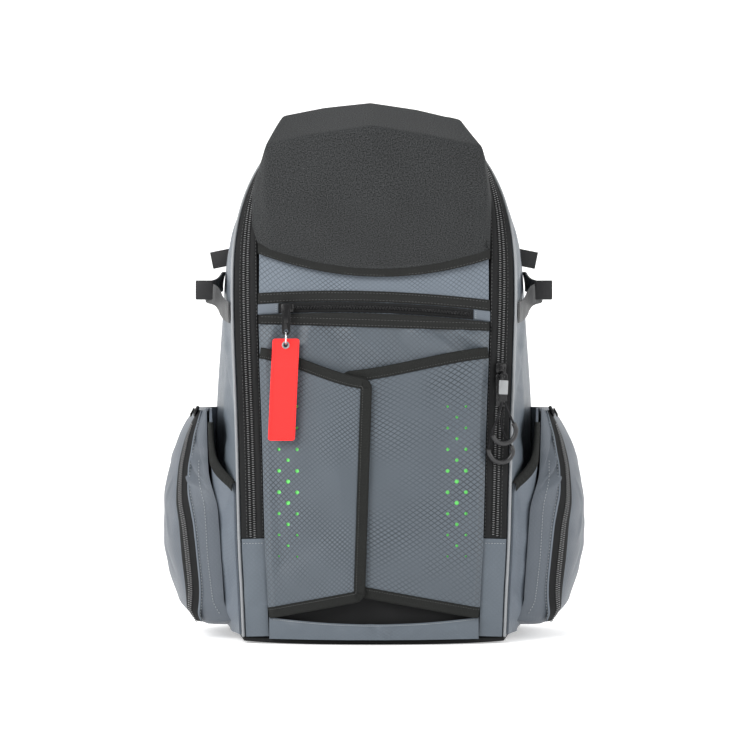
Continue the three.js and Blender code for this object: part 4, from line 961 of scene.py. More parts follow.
# Flaps: two padded panels sewn to the door's sides, the left over the right. Each has a strip of punched
# holes with green cloth behind them.
flap_thickness, flap_seam_lift, flap_binding = 4, 7.6, 10.5
flap_top_seam, flap_bottom_seam, flap_inset = 269.5, 34.8, 0.2
flap_table = {
    # seam's side, free_top, free_foot, top_drop, foot_rise, lift, holes' middle column from the side
    "left": (-1, -12.5, -18.8, 30.5, 16.2, 15, 29.6),
    "right": (1, -21, -15, 24, 21.6, 9.2, 32.5),
}
SIDE, LIFT, HOLES = 0, 5, 6
column_gap, hole_pitch, hole_rows, hole_top = 8.6, 20.05, 8, 223.5
flap_edge_drop, flap_edge_width = 4.6, 7


def flap_lift(x, z, side, lift):
    """How far the flap stands off the door: its seam edge turns down to the door's side."""
    sewn = 1 - ease(door_half(z) - side * x, 0, flap_edge_width)
    return (mix(flap_seam_lift, lift, ease(abs(x - side * door_width / 2), 0, door_width / 2))
            - flap_edge_drop * sewn)


def flap_point(name, u, v):
    """The (x, z) of the flap at (u, v): u from the seam to the free edge, v up."""
    side, free_top, free_foot, top_drop, foot_rise = flap_table[name][:5]
    seam_x = side * (door_half(mix(flap_bottom_seam, flap_top_seam, v)) - flap_inset)
    x = mix(seam_x, mix(free_foot, free_top, v), u)
    top = flap_top_seam - top_drop * ease(u, -0.15, 1.15)
    return x, mix(flap_bottom_seam + foot_rise * u, top, v)


# Painted shade: the flaps take the darkest copy of the grey ripstop.
flap_cloth_painted_shade = cloth("flap_cloth_painted_shade", DARK_GREY_PAINTED_SHADE, roughness=0.45, diamonds=0.5, shine=0.3, worn_size=0.07)
bright_green = cloth("green_backing", (0.2, 0.86, 0.2), roughness=0.5)
hole_bores = (1.15, 1.3, 1.55, 1.85, 1.85, 1.55, 1.25, 0.95)
flap_folds = {
    "left": ((-104, 240, -60, 150, 14, 1.8), (-100, 70, -40, 110, 12, -1.8), (-50, 220, -24, 120, 12, 1.6),
             (-98, 190, -84, 60, 6, -1.2)),
    "right": ((100, 225, 50, 130, 14, 1.9), (92, 62, 40, 120, 12, -1.8), (30, 240, 20, 110, 14, -1.7),
              (99, 190, 90, 50, 6, -1.2)),
}


def flap_surface(name, u, v, under=0.0):
    """The flap's outer surface at (u, v), or a distance under it."""
    side, lift = flap_table[name][SIDE], flap_table[name][LIFT]
    x, z = flap_point(name, u, v)
    puff = 1.4 * (math.sin(math.pi * u) * math.sin(math.pi * v)) ** 0.5
    uneven = ripple((x, z, side * 9), 38, 1.2) + folds(x, z, flap_folds[name])
    raised = puff + uneven * min(1, 6 * min(v, 1 - v, u, 1 - u))
    return on_front(x, z, flap_lift(x, z, side, lift) + raised - under)


def flap_share(name, x, z):
    """The (u, v) of the flap at (x, z), found by stepping towards it."""
    u, v, step = 0.5, 0.5, 0.01
    for _ in range(12):
        here = flap_point(name, u, v)
        across, along = flap_point(name, u + step, v), flap_point(name, u, v + step)
        u += (x - here[0]) * step / (across[0] - here[0])
        v += (z - flap_point(name, u, v)[1]) * step / (along[1] - here[1])
    return u, v


for name in ("left", "right"):
    side, hole_middle = flap_table[name][SIDE], flap_table[name][HOLES]

    def flap_place(u, v, name=name):
        return flap_surface(name, min(max(u, 0.0), 1.0), min(max(v, 0.0), 1.0))

    flap = grid_piece(f"{name}_flap_padding", 110, 150, flap_place, (94, 210))
    thicken(flap, flap_thickness)
    bpy.ops.object.select_all(action="DESELECT")
    bpy.ops.mesh.primitive_cylinder_add(vertices=20, radius=1, depth=1, rotation=(math.pi / 2, 0, 0))
    drill = bpy.context.object
    bpy.ops.object.transform_apply(location=False, rotation=True, scale=True)
    places = []
    for column, first, count in ((-1, 0.0, hole_rows), (0, 0.5, hole_rows - 1), (1, 0.0, hole_rows)):
        for i in range(count):
            x = side * (door_width / 2 - hole_middle - column * column_gap)
            z = hole_top - hole_pitch * (first + i)
            bore = hole_bores[min(int(first + i), 7)] * (1.0 if column else 1.1)
            at = flap_surface(name, *flap_share(name, x, z)) * MM
            places.append(Matrix.Translation(at) @ Matrix.Diagonal((bore * MM, 7 * MM, bore * MM, 1)))
    punch = copies("punch", drill, places)
    remove(drill)
    apply(flap, "BOOLEAN", operation="DIFFERENCE", object=punch, solver="MANIFOLD")
    remove(punch)
    finish_piece(flap, flap_cloth_painted_shade, "grey_cloth", f"{name}_flap", angle=40)

    def backing_place(u, v, name=name, side=side, hole_middle=hole_middle):
        x = side * (door_width / 2 - hole_middle + (u - 0.5) * 24)
        z = hole_top + 4 - v * (hole_pitch * 7 + 8)
        return flap_surface(name, *flap_share(name, x, z), under=1.5)

    backing = grid_piece(f"{name}_flap_backing", 10, 40, backing_place, (26, 150))
    thicken(backing, 0.6)
    finish_piece(backing, bright_green, "green_cloth")

# Flap bindings: tape folded over the three free edges of each flap, round at the corners, with a fine row
# of stitches.
binding_cloth = cloth("flap_binding_cloth", (0.0125, 0.0132, 0.0125), roughness=0.7, ribs=0.0013,
                      speckle=0.2)


def right_angle(a, b, turn):
    """The direction at a right angle to the way from a to b."""
    length = math.hypot(b[0] - a[0], b[1] - a[1])
    return -turn * (b[1] - a[1]) / length, turn * (b[0] - a[0]) / length


for name in ("left", "right"):
    side, lift = flap_table[name][SIDE], flap_table[name][LIFT]
    edges = (
        [flap_point(name, i / 24, 1) for i in range(25)],
        [flap_point(name, 1, 1 - i / 40) for i in range(41)],
        [flap_point(name, 1 - i / 24, 0) for i in range(25)],
    )
    trail = []
    turn = 1 if side < 0 else -1
    for e, edge in enumerate(edges):
        for i, point in enumerate(edge):
            trail.append((point, right_angle(edge[max(i - 1, 0)], edge[min(i + 1, len(edge) - 1)], turn)))
        if e < 2:
            after = right_angle(edges[e + 1][0], edges[e + 1][1], turn)
            before = trail[-1][1]
            for i in range(1, 9):
                n = (mix(before[0], after[0], i / 9), mix(before[1], after[1], i / 9))
                size = math.hypot(*n)
                trail.append((edge[-1], (n[0] / size, n[1] / size)))

    def along_trail(t, out, raise_by, trail=trail, side=side, lift=lift):
        """A point along the trail, moved out from the flap and off the door."""
        f = max(0.0, min(t, 1.0)) * (len(trail) - 1)
        i = min(int(f), len(trail) - 2)
        (p, n), (q, m) = trail[i], trail[i + 1]
        w = (mix(n[0], m[0], f - i), mix(n[1], m[1], f - i))
        size = math.hypot(*w) or 1
        x = mix(p[0], q[0], f - i) + w[0] / size * out
        z = mix(p[1], q[1], f - i) + w[1] / size * out
        limit = door_half(z)
        x = max(-limit, min(limit, x))
        return on_front(x, z, flap_lift(x, z, side, lift) + raise_by)

    def binding_place(u, v, along_trail=along_trail):
        # v goes from the front of the flap round the outer edge to its back.
        out = flap_binding * math.sin(math.pi * min(max(v, 0.0), 1.0)) ** 0.75
        thick = mix(0.9, -flap_thickness - 0.9, ease(v, 0.3, 0.7))
        soft = ripple((u * 500, v * 10, 3), 16, 0.5)
        return along_trail(u, 0.2 + out, thick + soft)

    binding = grid_piece(f"{name}_flap_binding_tape", len(trail) * 2, 18, binding_place, (470, 24))
    finish_piece(binding, binding_cloth, "black_cloth", f"{name}_flap_binding", angle=75)
    sew(f"{name}_flap_binding_seam", lambda t, along_trail=along_trail: along_trail(t, 2.2, 1.3),
        lambda t: FORWARD, 470, thread_dark, 2.2, 1.5, 0.4)

# Pocket lip: a low wall of grey ripstop in front of the lining's foot, sewn in at its sides and foot. It is
# slack in the middle, and its rolled top edge has a pale row of stitches.
lip_height, lip_rise = 20, 7
lip_folds = (
    # x and z of one end, x and z of the other, half width, height
    (-4, 19, 4, 8, 3.0, -1.4), (4, 18, 12, 7, 3.0, 1.5), (20, 18, 14, 8, 3.0, -1.2),
    (-30, 17, -22, 8, 4.0, 1.0), (40, 19, 34, 9, 4.0, 1.0), (-84, 24, -66, 12, 5.0, 1.2),
    (88, 24, 70, 12, 5.0, 1.2),
)


def lip_lift(x):
    return mix(8, 3, min(share_squared(x) * 1.2, 1))


def lip_place(u, v):
    half_width = door_half(floor_gap) - 0.5
    x = (2 * u - 1) * half_width
    z = mix(floor_gap, lip_height + lip_rise * share_squared(x), v)
    creased = folds(x, z, lip_folds) * min(1, 4 * (1 - v))
    return on_front(x, z, lip_lift(x) + 0.8 * math.sin(math.pi * v) + ripple((x, z, 1), 18, 0.8) + creased)


lip = grid_piece("pocket_lip_cloth", 120, 20, lip_place, (200, 22))
thicken(lip, 2)
finish_piece(lip, grey_side_painted_shading, "grey_cloth", "pocket_lip")
lip_half = door_half(floor_gap) - 4


def lip_seam(t):
    x = mix(-lip_half, lip_half, t)
    return on_front(x, lip_height + lip_rise * share_squared(x) - 1.4, lip_lift(x) + 0.7)


sew("pocket_lip_seam", lip_seam, lambda t: FORWARD, 200, thread_pale, 2.1, 1.3, 0.6)

# Front zip's slider, puller, ring, fob and eyelet: a moulded slider with a bridge over it, a black puller
# with a rib, and a steel split ring that carries a red cloth fob by its eyelet.
slider_x = -82
steel = plain_material("polished_steel", (0.62, 0.63, 0.65), 0.22, metallic=1.0, wear=0.03)
silver = plain_material("satin_silver", (0.25, 0.257, 0.262), 0.42, metallic=0.5, wear=0.04)


def block(name, size, place, bevel=0.6):
    """A box with rounded edges, in mm."""
    bpy.ops.object.select_all(action="DESELECT")
    bpy.ops.mesh.primitive_cube_add(size=1, location=Vector(place) * MM)
    piece = bpy.context.object
    piece.name = name
    bpy.ops.transform.resize(value=Vector(size) * MM)
    bpy.ops.object.transform_apply(location=True, rotation=False, scale=True)
    return apply(piece, "BEVEL", width=bevel * MM, segments=3)


def join(name, pieces):
    select_only(*pieces)
    bpy.ops.object.join()
    bpy.context.object.name = name
    return bpy.context.object


def ring_piece(name, place, radius, wire, axis="X"):
    bpy.ops.object.select_all(action="DESELECT")
    turn = (0, math.pi / 2, 0) if axis == "X" else (math.pi / 2, 0, 0)
    bpy.ops.mesh.primitive_torus_add(location=Vector(place) * MM, rotation=turn, major_radius=radius * MM,
                                     minor_radius=wire * MM, major_segments=48, minor_segments=12)
    bpy.ops.object.transform_apply(location=True, rotation=True, scale=True)
    bpy.context.object.name = name
    return bpy.context.object


slider_z = zip_slot(slider_x, 0.5)
slider_base = front(slider_x + 8, slider_z) - 3.6 - 0.3
bridge_leg = (2.2, 4.6, 2.4)
slider = join("front_zip_slider", [
    block("body", (12, 4, 8.5), (slider_x + 1, slider_base - 2, slider_z), 1.4),
    block("bridge_left", bridge_leg, (slider_x - 2.9, slider_base - 5.9, slider_z + 2), 0.7),
    block("bridge_right", bridge_leg, (slider_x + 2.9, slider_base - 5.9, slider_z + 2), 0.7),
    block("bridge_top", (8, 1.6, 2.4), (slider_x, slider_base - 7.8, slider_z + 2), 0.7),
])
finish_piece(slider, zip_plastic, "zip_plastic", "front_slider")
puller_y = slider_base - 4 - 5 - 0.9
puller_top = slider_z + 3
front_puller_length, front_puller_width = 29, 8
puller_foot = puller_top - front_puller_length


def round_ended_plate(name, width, length, thickness, hole, rim):
    """A puller's plate in the XZ plane: square at the top, round at the foot with a hole there.
    rim is the width of its bevel.
    """
    outline_points = [(-width / 2, 0), (width / 2, 0)]
    centre = width / 2 - length
    outline_points += [(width / 2 * math.cos(a), centre + width / 2 * math.sin(a))
                       for a in (-math.pi * i / 16 for i in range(17))]
    mesh = bpy.data.meshes.new(name)
    mesh.from_pydata([(x * MM, 0, z * MM) for x, z in outline_points], [],
                     [tuple(range(len(outline_points)))])
    plate = bpy.data.objects.new(name, mesh)
    bpy.context.collection.objects.link(plate)
    apply(plate, "SOLIDIFY", thickness=thickness * MM, offset=0)
    bpy.ops.object.select_all(action="DESELECT")
    bpy.ops.mesh.primitive_cylinder_add(vertices=32, radius=hole * MM, depth=0.02,
                                        location=(0, 0, centre * MM), rotation=(math.pi / 2, 0, 0))
    cutter = bpy.context.object
    apply(plate, "BOOLEAN", operation="DIFFERENCE", object=cutter, solver="MANIFOLD")
    remove(cutter)
    return apply(plate, "BEVEL", width=rim * MM, segments=2, limit_method="ANGLE",
                 angle_limit=math.radians(50))


def place_piece(piece, matrix):
    piece.data.transform(matrix)
    piece.data.update()
    return piece


black_puller = plain_material("black_puller", (0.006, 0.006, 0.0065), 0.24, wear=0.03, gloss=0.3)
front_puller = round_ended_plate("front_zip_puller", front_puller_width, front_puller_length, 1.8, 2.0, 0.5)
place_piece(front_puller, Matrix.Translation(Vector((slider_x, puller_y, puller_top)) * MM))
finish_piece(front_puller, black_puller, "zip_plastic", "front_puller")
inlay = block("front_puller_rib", (4.4, 0.7, 13), (slider_x, puller_y - 1.1, puller_top - 11), 0.3)
finish_piece(inlay, zip_plastic, "zip_plastic")
ring_radius = 6.5
ring_z = puller_foot + front_puller_width / 2 - ring_radius
fob_ring = ring_piece("fob_split_ring", (slider_x, puller_y, ring_z), ring_radius, 0.8)
finish_piece(fob_ring, steel, "steel", "fob_ring", angle=180)

red_cloth = cloth("red_fob_cloth", (0.86, 0.03, 0.028), roughness=0.6, sheen=0.1, pitch=0.0007, cloud=0.03)
eyelet_z = ring_z - ring_radius
fob_top, fob_length, fob_width = eyelet_z + 6, 95, 25


def fob_place(u, v):
    """The fob's front: its corners are round, its border is raised and it bends forward as it hangs."""
    share = 1 - v
    x = (u - 0.5) * fob_width
    corner = 2.4
    drop = share * fob_length
    inset = max(0.0, corner - min(drop, fob_length - drop))
    squeeze = corner - math.sqrt(max(corner ** 2 - inset ** 2, 0.0))
    x *= 1 - 2 * squeeze / fob_width
    near_edge = min(fob_width / 2 - abs(x), drop, fob_length - drop)
    border = 0.35 if near_edge < 2.6 else 0.0
    bend = 4.5 * ease(share, 0.16, 0.3) + 0.8 * math.sin(math.pi * share)
    return (slider_x + x - 4.2 * share, puller_y - bend - 1.0 - border, fob_top - drop)


fob = grid_piece("red_fob", 60, 150, fob_place, (fob_width, fob_length))
thicken(fob, 2.2)
bpy.ops.object.select_all(action="DESELECT")
bpy.ops.mesh.primitive_cylinder_add(vertices=40, radius=3.4 * MM, depth=0.03, rotation=(math.pi / 2, 0, 0),
                                    location=Vector((slider_x - 0.3, puller_y, eyelet_z)) * MM)
cutter = bpy.context.object
apply(fob, "BOOLEAN", operation="DIFFERENCE", object=cutter, solver="MANIFOLD")
remove(cutter)
finish_piece(fob, red_cloth, "red_cloth", "fob", angle=60)
eyelet = ring_piece("fob_eyelet_rim", (slider_x - 0.3, puller_y - 1.1, eyelet_z), 2.8, 0.9, axis="Y")
place_piece(eyelet, Matrix.Translation((0, (puller_y - 0.2) * MM, 0)) @ Matrix.Diagonal((1, 1.5, 1, 1))
            @ Matrix.Translation((0, -(puller_y - 0.2) * MM, 0)))
finish_piece(eyelet, silver, "silver_pull", "fob_eyelet", angle=180)


def fob_edge(t):
    """Runs once round the fob, a little in from its edge."""
    inset = 1.5
    wide, tall = fob_width - 2 * inset, fob_length - 2 * inset
    way = t * 2 * (wide + tall)
    for length, at in ((wide, lambda w: (w, 0)), (tall, lambda w: (wide, w)),
                       (wide, lambda w: (wide - w, tall)), (tall, lambda w: (0, tall - w))):
        if way <= length:
            a, drop = at(way)
            place = fob_place((a + inset) / fob_width, 1 - (drop + inset) / fob_length)
            return Vector(place) - Vector((0, 0.1, 0))
        way -= length
    return fob_edge(0)


red_thread = plain_material("red_thread", (0.6, 0.02, 0.025), 0.65)
sew("fob_seam", fob_edge, lambda t: FORWARD, 228, red_thread, 1.3, 1.15, 0.6)

# Main zip's two sliders, nose to nose on the right-hand side, with a puller and a cord loop on each. They
# are moulded in black, and the upper puller has a silver sleeve.
slider_height, slider_length = 260, 10
coil_middle = band_width / 2


def on_band(across, lift, z):
    """The matrix at a place on the right-hand zip band: x across it, y off it and z up along it."""
    s = whole_arch - door_row(z)
    axis, facing = band_axes(s)
    up = axis.cross(facing)
    turned = Matrix((axis, facing, up)).transposed().to_4x4()
    return Matrix.Translation(band_point(s, coil_middle + across, lift) * MM) @ turned


def band_block(name, size, across, lift, z, bevel=0.6):
    return place_piece(block(name, size, (0, 0, 0), bevel), on_band(across, lift, z))


slider_lift = 0.3 + 2 + 0.3 + 2
second_height = slider_height - slider_length - 1
for name, z in (("upper", slider_height), ("lower", second_height)):
    body = join(f"main_zip_slider_{name}", [
        band_block("body", (10, 4, 10), 0, slider_lift, z, 1.5),
        band_block("bridge", (3.2, 3, 7), 0, slider_lift + 3.3, z, 1.0),
    ])
    finish_piece(body, zip_plastic, "zip_plastic", f"main_slider_{name}")
puller_lift = slider_lift + 2 + 4.2
puller_width, puller_length = 7.6, 27
puller_half = puller_length / 2
eyes = {}
for name, top, across, lift, look, finish_slot in (
    ("lower", second_height + 2, -1.2, puller_lift, black_puller, "zip_plastic"),
    ("upper", slider_height - 4, 1.2, puller_lift + 1.8 + 0.3, silver, "silver_pull"),
):
    plate = round_ended_plate(f"main_zip_puller_{name}", puller_width, puller_length, 2.2, 1.7, 0.7)
    place_piece(plate, on_band(across, lift, top - puller_half)
                @ Matrix.Translation((0, 0, puller_half * MM)))
    finish_piece(plate, black_puller, "zip_plastic", f"main_puller_{name}")
    puller_sleeve = block(f"main_puller_sleeve_{name}", (8.6, 3.2, 13.5), (0, 0, 0), 0.9)
    place_piece(puller_sleeve, on_band(across, lift, top - 14))
    finish_piece(puller_sleeve, look, finish_slot, f"main_puller_{name}")
    eyes[name] = (top - puller_length + 4, lift)

# Cord loops: a thin braided cord from each puller's eye, down through a hard curved rubber grip and back
# to the eye.
cord_cloth = cloth("cord_braid", (0.01, 0.01, 0.011), roughness=0.6, pitch=0.0011, coordinate="Object")
grip_rubber = plain_material("grip_rubber", (0.011, 0.011, 0.012), 0.38, relief=0.00004)
loops = {
    # lift at the loop's foot, and its points as how far across the band and how far below the eye
    "upper": (puller_lift + 1, (
        (0.6, 5.6), (-0.8, 11), (-3.4, 22), (-7.2, 32), (-5.8, 39), (0.2, 43.6), (7.2, 43), (13, 38.4),
        (15, 30.5), (12, 23.6), (7.6, 15), (4.6, 9), (3.4, 5.6))),
    "lower": (puller_lift - 4.4, (
        (-0.6, 5.6), (-2.2, 14), (-6.6, 28), (-9, 40), (-9.2, 48), (-4.6, 54.4), (2, 56.6), (9.2, 54.6),
        (13.8, 47.4), (11.6, 40.2), (6, 32), (1.6, 20), (1.8, 5.6))),
}
cord_radius = 1.0


def smooth_path(points):
    """A Catmull-Rom curve through the points, as a function of t from 0 to 1."""
    def at(t):
        f = max(0.0, min(t, 1.0)) * (len(points) - 1)
        i = min(int(f), len(points) - 2)
        f -= i
        a = points[i - 1] if i else points[0] * 2 - points[1]
        b, c = points[i], points[i + 1]
        d = points[i + 2] if i + 2 < len(points) else c * 2 - b
        return b + (c - a + (a * 2 - b * 5 + c * 4 - d + (b * 3 - c * 3 + d - a) * f) * f) * (0.5 * f)

    return at


for name, (rest_lift, rows) in loops.items():
    eye_height, eye_lift = eyes[name]
    places = []
    for across, down in rows:
        z = eye_height - down
        lift = mix(eye_lift, rest_lift, ease(down, 6, 24))
        places.append(band_point(whole_arch - door_row(z), coil_middle + across, lift))
    way = smooth_path(places)
    path_points = [way(i / 72) for i in range(73)]
    pull_cord = tube_piece(f"main_pull_cord_{name}", way, cord_radius, len(path_points), sides=10)
    finish_piece(pull_cord, cord_cloth, "cord", f"pull_cord_{name}", angle=180)
    grip = tube_piece(f"main_pull_grip_{name}", lambda t, way=way: way(0.3 + 0.44 * t), 2.3, 40, sides=16)
    finish_piece(grip, grip_rubber, "grip_rubber", f"pull_grip_{name}", angle=60)

# Bat sleeves: an outer sheet on each side, sewn along the piping and the rear seam and standing off the
# wall between them, open at the top. Green lining shows just inside the mouth.
# The wall's edges at rows from the foot of the right-hand side to its shoulder, where the sleeves lie.
wall_rows = []
for i in range(241):
    s = whole_arch + 0.5 - 8.5 * i / 240
    wall_rows.append((wall_front(s), rear_edge(s) - Vector((0, edge_gap, 0)), outwards(s)))


def wall_side(y, z):
    """The x of the body wall's outside at (y, z) on the right-hand side."""
    def at(i):
        near, far, out = wall_rows[i]
        share = max(0.0, min((y - near.y) / (rear_reach - near.y), 1.0))
        return near.lerp(far, share) + out * (wall_belly * share * (1 - share))

    low = last_below(len(wall_rows) - 1, lambda i: at(i).z < z)
    a, b = at(low), at(low + 1)
    return mix(a.x, b.x, max(0.0, min((z - a.z) / max(b.z - a.z, 1e-9), 1.0)))


def look_up(table, column, at):
    """A column of a table at a value of its first column, on a smooth curve through the rows."""
    last = len(table) - 1
    x = max(table[0][0], min(at, table[last][0]))
    i = max(next(k for k in range(last + 1) if table[k][0] >= x) - 1, 0)

    def slope(a, b):
        return (table[b][column] - table[a][column]) / (table[b][0] - table[a][0])

    before, after = slope(max(i - 1, 0), min(i + 1, last)), slope(i, min(i + 2, last))
    span = table[i + 1][0] - table[i][0]
    t = (x - table[i][0]) / span
    p, q = table[i][column], table[i + 1][column]
    return (p * (1 + 2 * t) * (1 - t) ** 2 + before * span * t * (1 - t) ** 2
            + q * t * t * (3 - 2 * t) + after * span * t * t * (t - 1))


sleeve_front, sleeve_rear, sleeve_foot, sleeve_thickness = -78, 88, 8, 2
pocket_foot_z, pocket_top_z = 13, 221
pocket_front_seam, pocket_seam_shift, pocket_rear_seam = -60, 27, 80
pocket_top_seam = pocket_front_seam + pocket_seam_shift
# The sleeve's mouth: shares of the way back and of the pocket's top height.
mouth = ((0, 0.681), (0.244, 0.713), (0.444, 0.751), (0.6, 0.797), (0.7, 0.862), (0.767, 0.932), (0.8, 1.0))


def sleeve_inside(y, z):
    """The x of the sleeve's inner face, on the right-hand side."""
    across = ease(y, sleeve_front, sleeve_front + 34) * (1 - ease(y, sleeve_rear - 24, sleeve_rear))
    stand_off = mix(16, 12, ease(y, -50, 0))
    up = mix(0.25, 1, ease(z, sleeve_foot, sleeve_foot + 24))
    hem_tuck = 1.6 * ease(y, sleeve_rear - 14, sleeve_rear)
    return wall_side(y, z) + 0.4 - hem_tuck + stand_off * across * up


def sleeve_outside(y, z):
    return sleeve_inside(y, z) + sleeve_thickness


def mouth_at(y):
    return pocket_top_z * look_up(mouth, 1, (y - sleeve_front) / (pocket_top_seam - sleeve_front))


sleeve_folds = (
    # y and z of one end, y and z of the other, half width, height
    (-76, 120, -58, 60, 6, 1.2), (-70, 150, -56, 110, 5, -1.2), (-77, 60, -60, 20, 6, 1.2),
    (-66, 95, -58, 40, 4, -1.0), (-60, 150, -45, 170, 5, 1.2),
)
# Painted shading: the sleeves take a lighter copy of the grey ripstop than the walls.
sleeve_grey_painted_shading = cloth("grey_ripstop_sleeve_painted_shading", (0.098, 0.115, 0.137), roughness=0.45, diamonds=0.08, shine=0.3,
                    marks=0.1)
for side_name, side in (("right", 1), ("left", -1)):
    def sleeve_place(u, v, side=side):
        y = mix(sleeve_front, sleeve_rear, u ** 1.15)
        z = mix(sleeve_foot, mouth_at(y), v)
        loose = ease(y, sleeve_front, sleeve_front + 10) * (1 - ease(y, sleeve_rear - 14, sleeve_rear))
        lift = (folds(y, z, sleeve_folds) + ripple((side * 7, y, z), 16, 1.0)) * loose
        return (side * (sleeve_outside(y, z) + lift), y, z)

    sleeve = grid_piece(f"bat_sleeve_{side_name}_cloth", 110, 90, sleeve_place, (170, 190))
    thicken(sleeve, sleeve_thickness)
    finish_piece(sleeve, sleeve_grey_painted_shading, "grey_cloth", f"bat_sleeve_{side_name}")

    def lining_in_place(u, v, side=side):
        y = mix(sleeve_front + 3, pocket_top_seam - 11, u)
        z = mouth_at(y) - 3 - 26 * v
        return (side * (sleeve_inside(y, z) - 0.5), y, z)

    green = grid_piece(f"sleeve_lining_{side_name}", 30, 10, lining_in_place, (40, 26))
    thicken(green, 0.4)
    finish_piece(green, bright_green, "green_cloth")

    def elastic_place(u, v, side=side):
        # v goes from the outside over the mouth's edge to the inside.
        share = mix(-0.14, 0.772, u)
        y = mix(sleeve_front, pocket_top_seam, share)
        a, b = mouth_at(y - 0.6), mouth_at(y + 0.6)
        into = Vector((0, b - a, -1.2)).normalized()
        depth = 7.0 * abs(math.cos(math.pi * v)) ** 1.4
        over = 1.2 * math.sin(math.pi * v) ** 2
        point = Vector((0, y, mouth_at(y))) + into * (depth - over)
        gathers = 0.5 * math.sin(u * 70) * math.sin(math.pi * min(2 * v, 1.0)) * 0.5
        lift = mix(2.2, -sleeve_thickness - 1.2, ease(v, 0.35, 0.65)) + gathers
        return (side * (sleeve_outside(point.y, point.z) + lift), point.y, point.z)

    elastic = grid_piece(f"sleeve_binding_{side_name}_tape", 90, 18, elastic_place, (90, 18))
    finish_piece(elastic, binding_cloth, "black_cloth", f"sleeve_binding_{side_name}", angle=75)

# Ball pockets: a bulging pouch of grey ripstop on each sleeve, with a zip up its front face. It is sewn to
# the sleeve at both sides and at its foot, and creased towards its top.
pocket_bulge, pocket_gap, pocket_edge, pocket_wall = 43.5, 1.5, 1.5, 2.5
pocket_levels = (
    # up, out, zip, seam
    (0, 0.66, 0.487, 0), (0.16, 0.885, 0.387, 0), (0.31, 1.0, 0.381, 0), (0.46, 0.994, 0.415, 0.03),
    (0.57, 0.961, 0.476, 0.12), (0.72, 0.805, 0.454, 0.62), (0.8, 0.693, 0.387, 0.95),
    (0.875, 0.532, 0.298, 1), (0.95, 0.331, 0.164, 1), (1.0, 0.108, 0.048, 1),
)
OUT, ZIP, SEAM = 1, 2, 3


def pocket_z(up):
    return mix(pocket_foot_z, pocket_top_z, up)


def pocket_point(turn, up, lift=0.0, shrink=1.0):
    """The pouch's skin: turn goes from its front seam at 0 to its rear seam at pi, up from 0 to 1."""
    z = pocket_z(up)
    seam = pocket_front_seam + pocket_seam_shift * look_up(pocket_levels, SEAM, up)
    middle = (seam + pocket_rear_seam) / 2
    y = middle - (pocket_rear_seam - seam) / 2 * math.cos(turn)
    bulge = pocket_bulge * look_up(pocket_levels, OUT, up) * math.sin(turn) * shrink
    return Vector((sleeve_outside(y, z) + pocket_gap + pocket_edge * shrink + bulge + lift, y, z))


# The turn at which the zip lies at each level, found by halving.
pocket_middle_y = (pocket_top_seam + pocket_rear_seam) / 2
zip_turns = []
for i in range(101):
    up = i / 100
    target = sleeve_outside(pocket_middle_y, pocket_z(up)) + pocket_bulge * look_up(pocket_levels, ZIP, up)
    low, high = 0.05, math.pi / 2
    for _ in range(22):
        middle = (low + high) / 2
        if pocket_point(middle, up).x < target:
            low = middle
        else:
            high = middle
    zip_turns.append((low + high) / 2)


def zip_turn(up):
    f = max(0.0, min(up, 0.9999)) * 100
    return mix(zip_turns[int(f)], zip_turns[int(f) + 1], f - int(f))


def pocket_zip_point(up, across, lift):
    """A point beside the pouch's zip, a distance across it and off it, and the way the skin faces there."""
    step = 0.02
    turn = zip_turn(up)
    rate = (pocket_point(turn + step, up) - pocket_point(turn - step, up)).length / (2 * step)
    at = turn + across / rate
    along = pocket_point(at + step, up) - pocket_point(at - step, up)
    facing = Vector((along.y, -along.x, 0)).normalized()
    return pocket_point(at, up) + facing * lift, facing


pocket_folds_front = (
    # hundredths of the turn and of the height at one end, at the other, half width, height in mm
    (2, 62, 20, 74, 1.6, -6.0), (2, 64, 20, 80, 1.6, 5.0), (2, 60, 20, 69, 1.5, 4.2),
    (3, 67, 16, 86, 1.5, -3.6), (3, 62, 27, 86, 1.8, -3.6), (4, 66, 24, 78, 1.6, 3.0),
    (3, 71, 20, 88, 1.5, -2.6), (5, 58, 26, 74, 1.9, 2.4), (3, 52, 25, 64, 2.2, -1.6),
    (3, 30, 20, 12, 3.0, 1.2), (5, 18, 24, 22, 3.0, -1.2), (4, 42, 22, 46, 2.6, 1.0),
    (62, 76, 84, 60, 4.0, 2.4), (64, 60, 86, 70, 3.6, -2.0), (62, 30, 84, 16, 4.0, 2.0),
    (64, 12, 88, 26, 4.0, -1.8), (36, 40, 44, 52, 2.2, 1.0), (36, 24, 44, 34, 2.2, -1.0),
    (38, 66, 44, 56, 2.2, 0.9),
)
seam_turn = math.pi * 0.075
# Painted shading: the pouches take a darker copy of the grey ripstop than the walls.
pocket_grey_painted_shading = cloth("grey_ripstop_pocket_painted_shading", (0.072, 0.084, 0.1), roughness=0.45, diamonds=0.08, shine=0.35,
                    marks=0.12)
# The first and last rows of the pouch's grid, as a share, turn in to the sleeve.
cut, pocket_corner, front_rise = 0.03, 2.5, 6.5


def foot_rise(turn, up):
    """How far the pouch's foot turns up, most at its front seam."""
    return pocket_corner * (1 - up) + front_rise * (1 - ease(turn, 0, 1)) * (1 - ease(up, 0, 0.35))


def seam_up(t):
    return mix(0.02, 0.76, max(0, min(t, 1)))


def zip_row(t, lift):
    """A row of stitches beside the pouch's zip."""
    return pocket_zip_point(mix(0.03, 0.94, max(0, min(t, 1))), -11.6, lift)


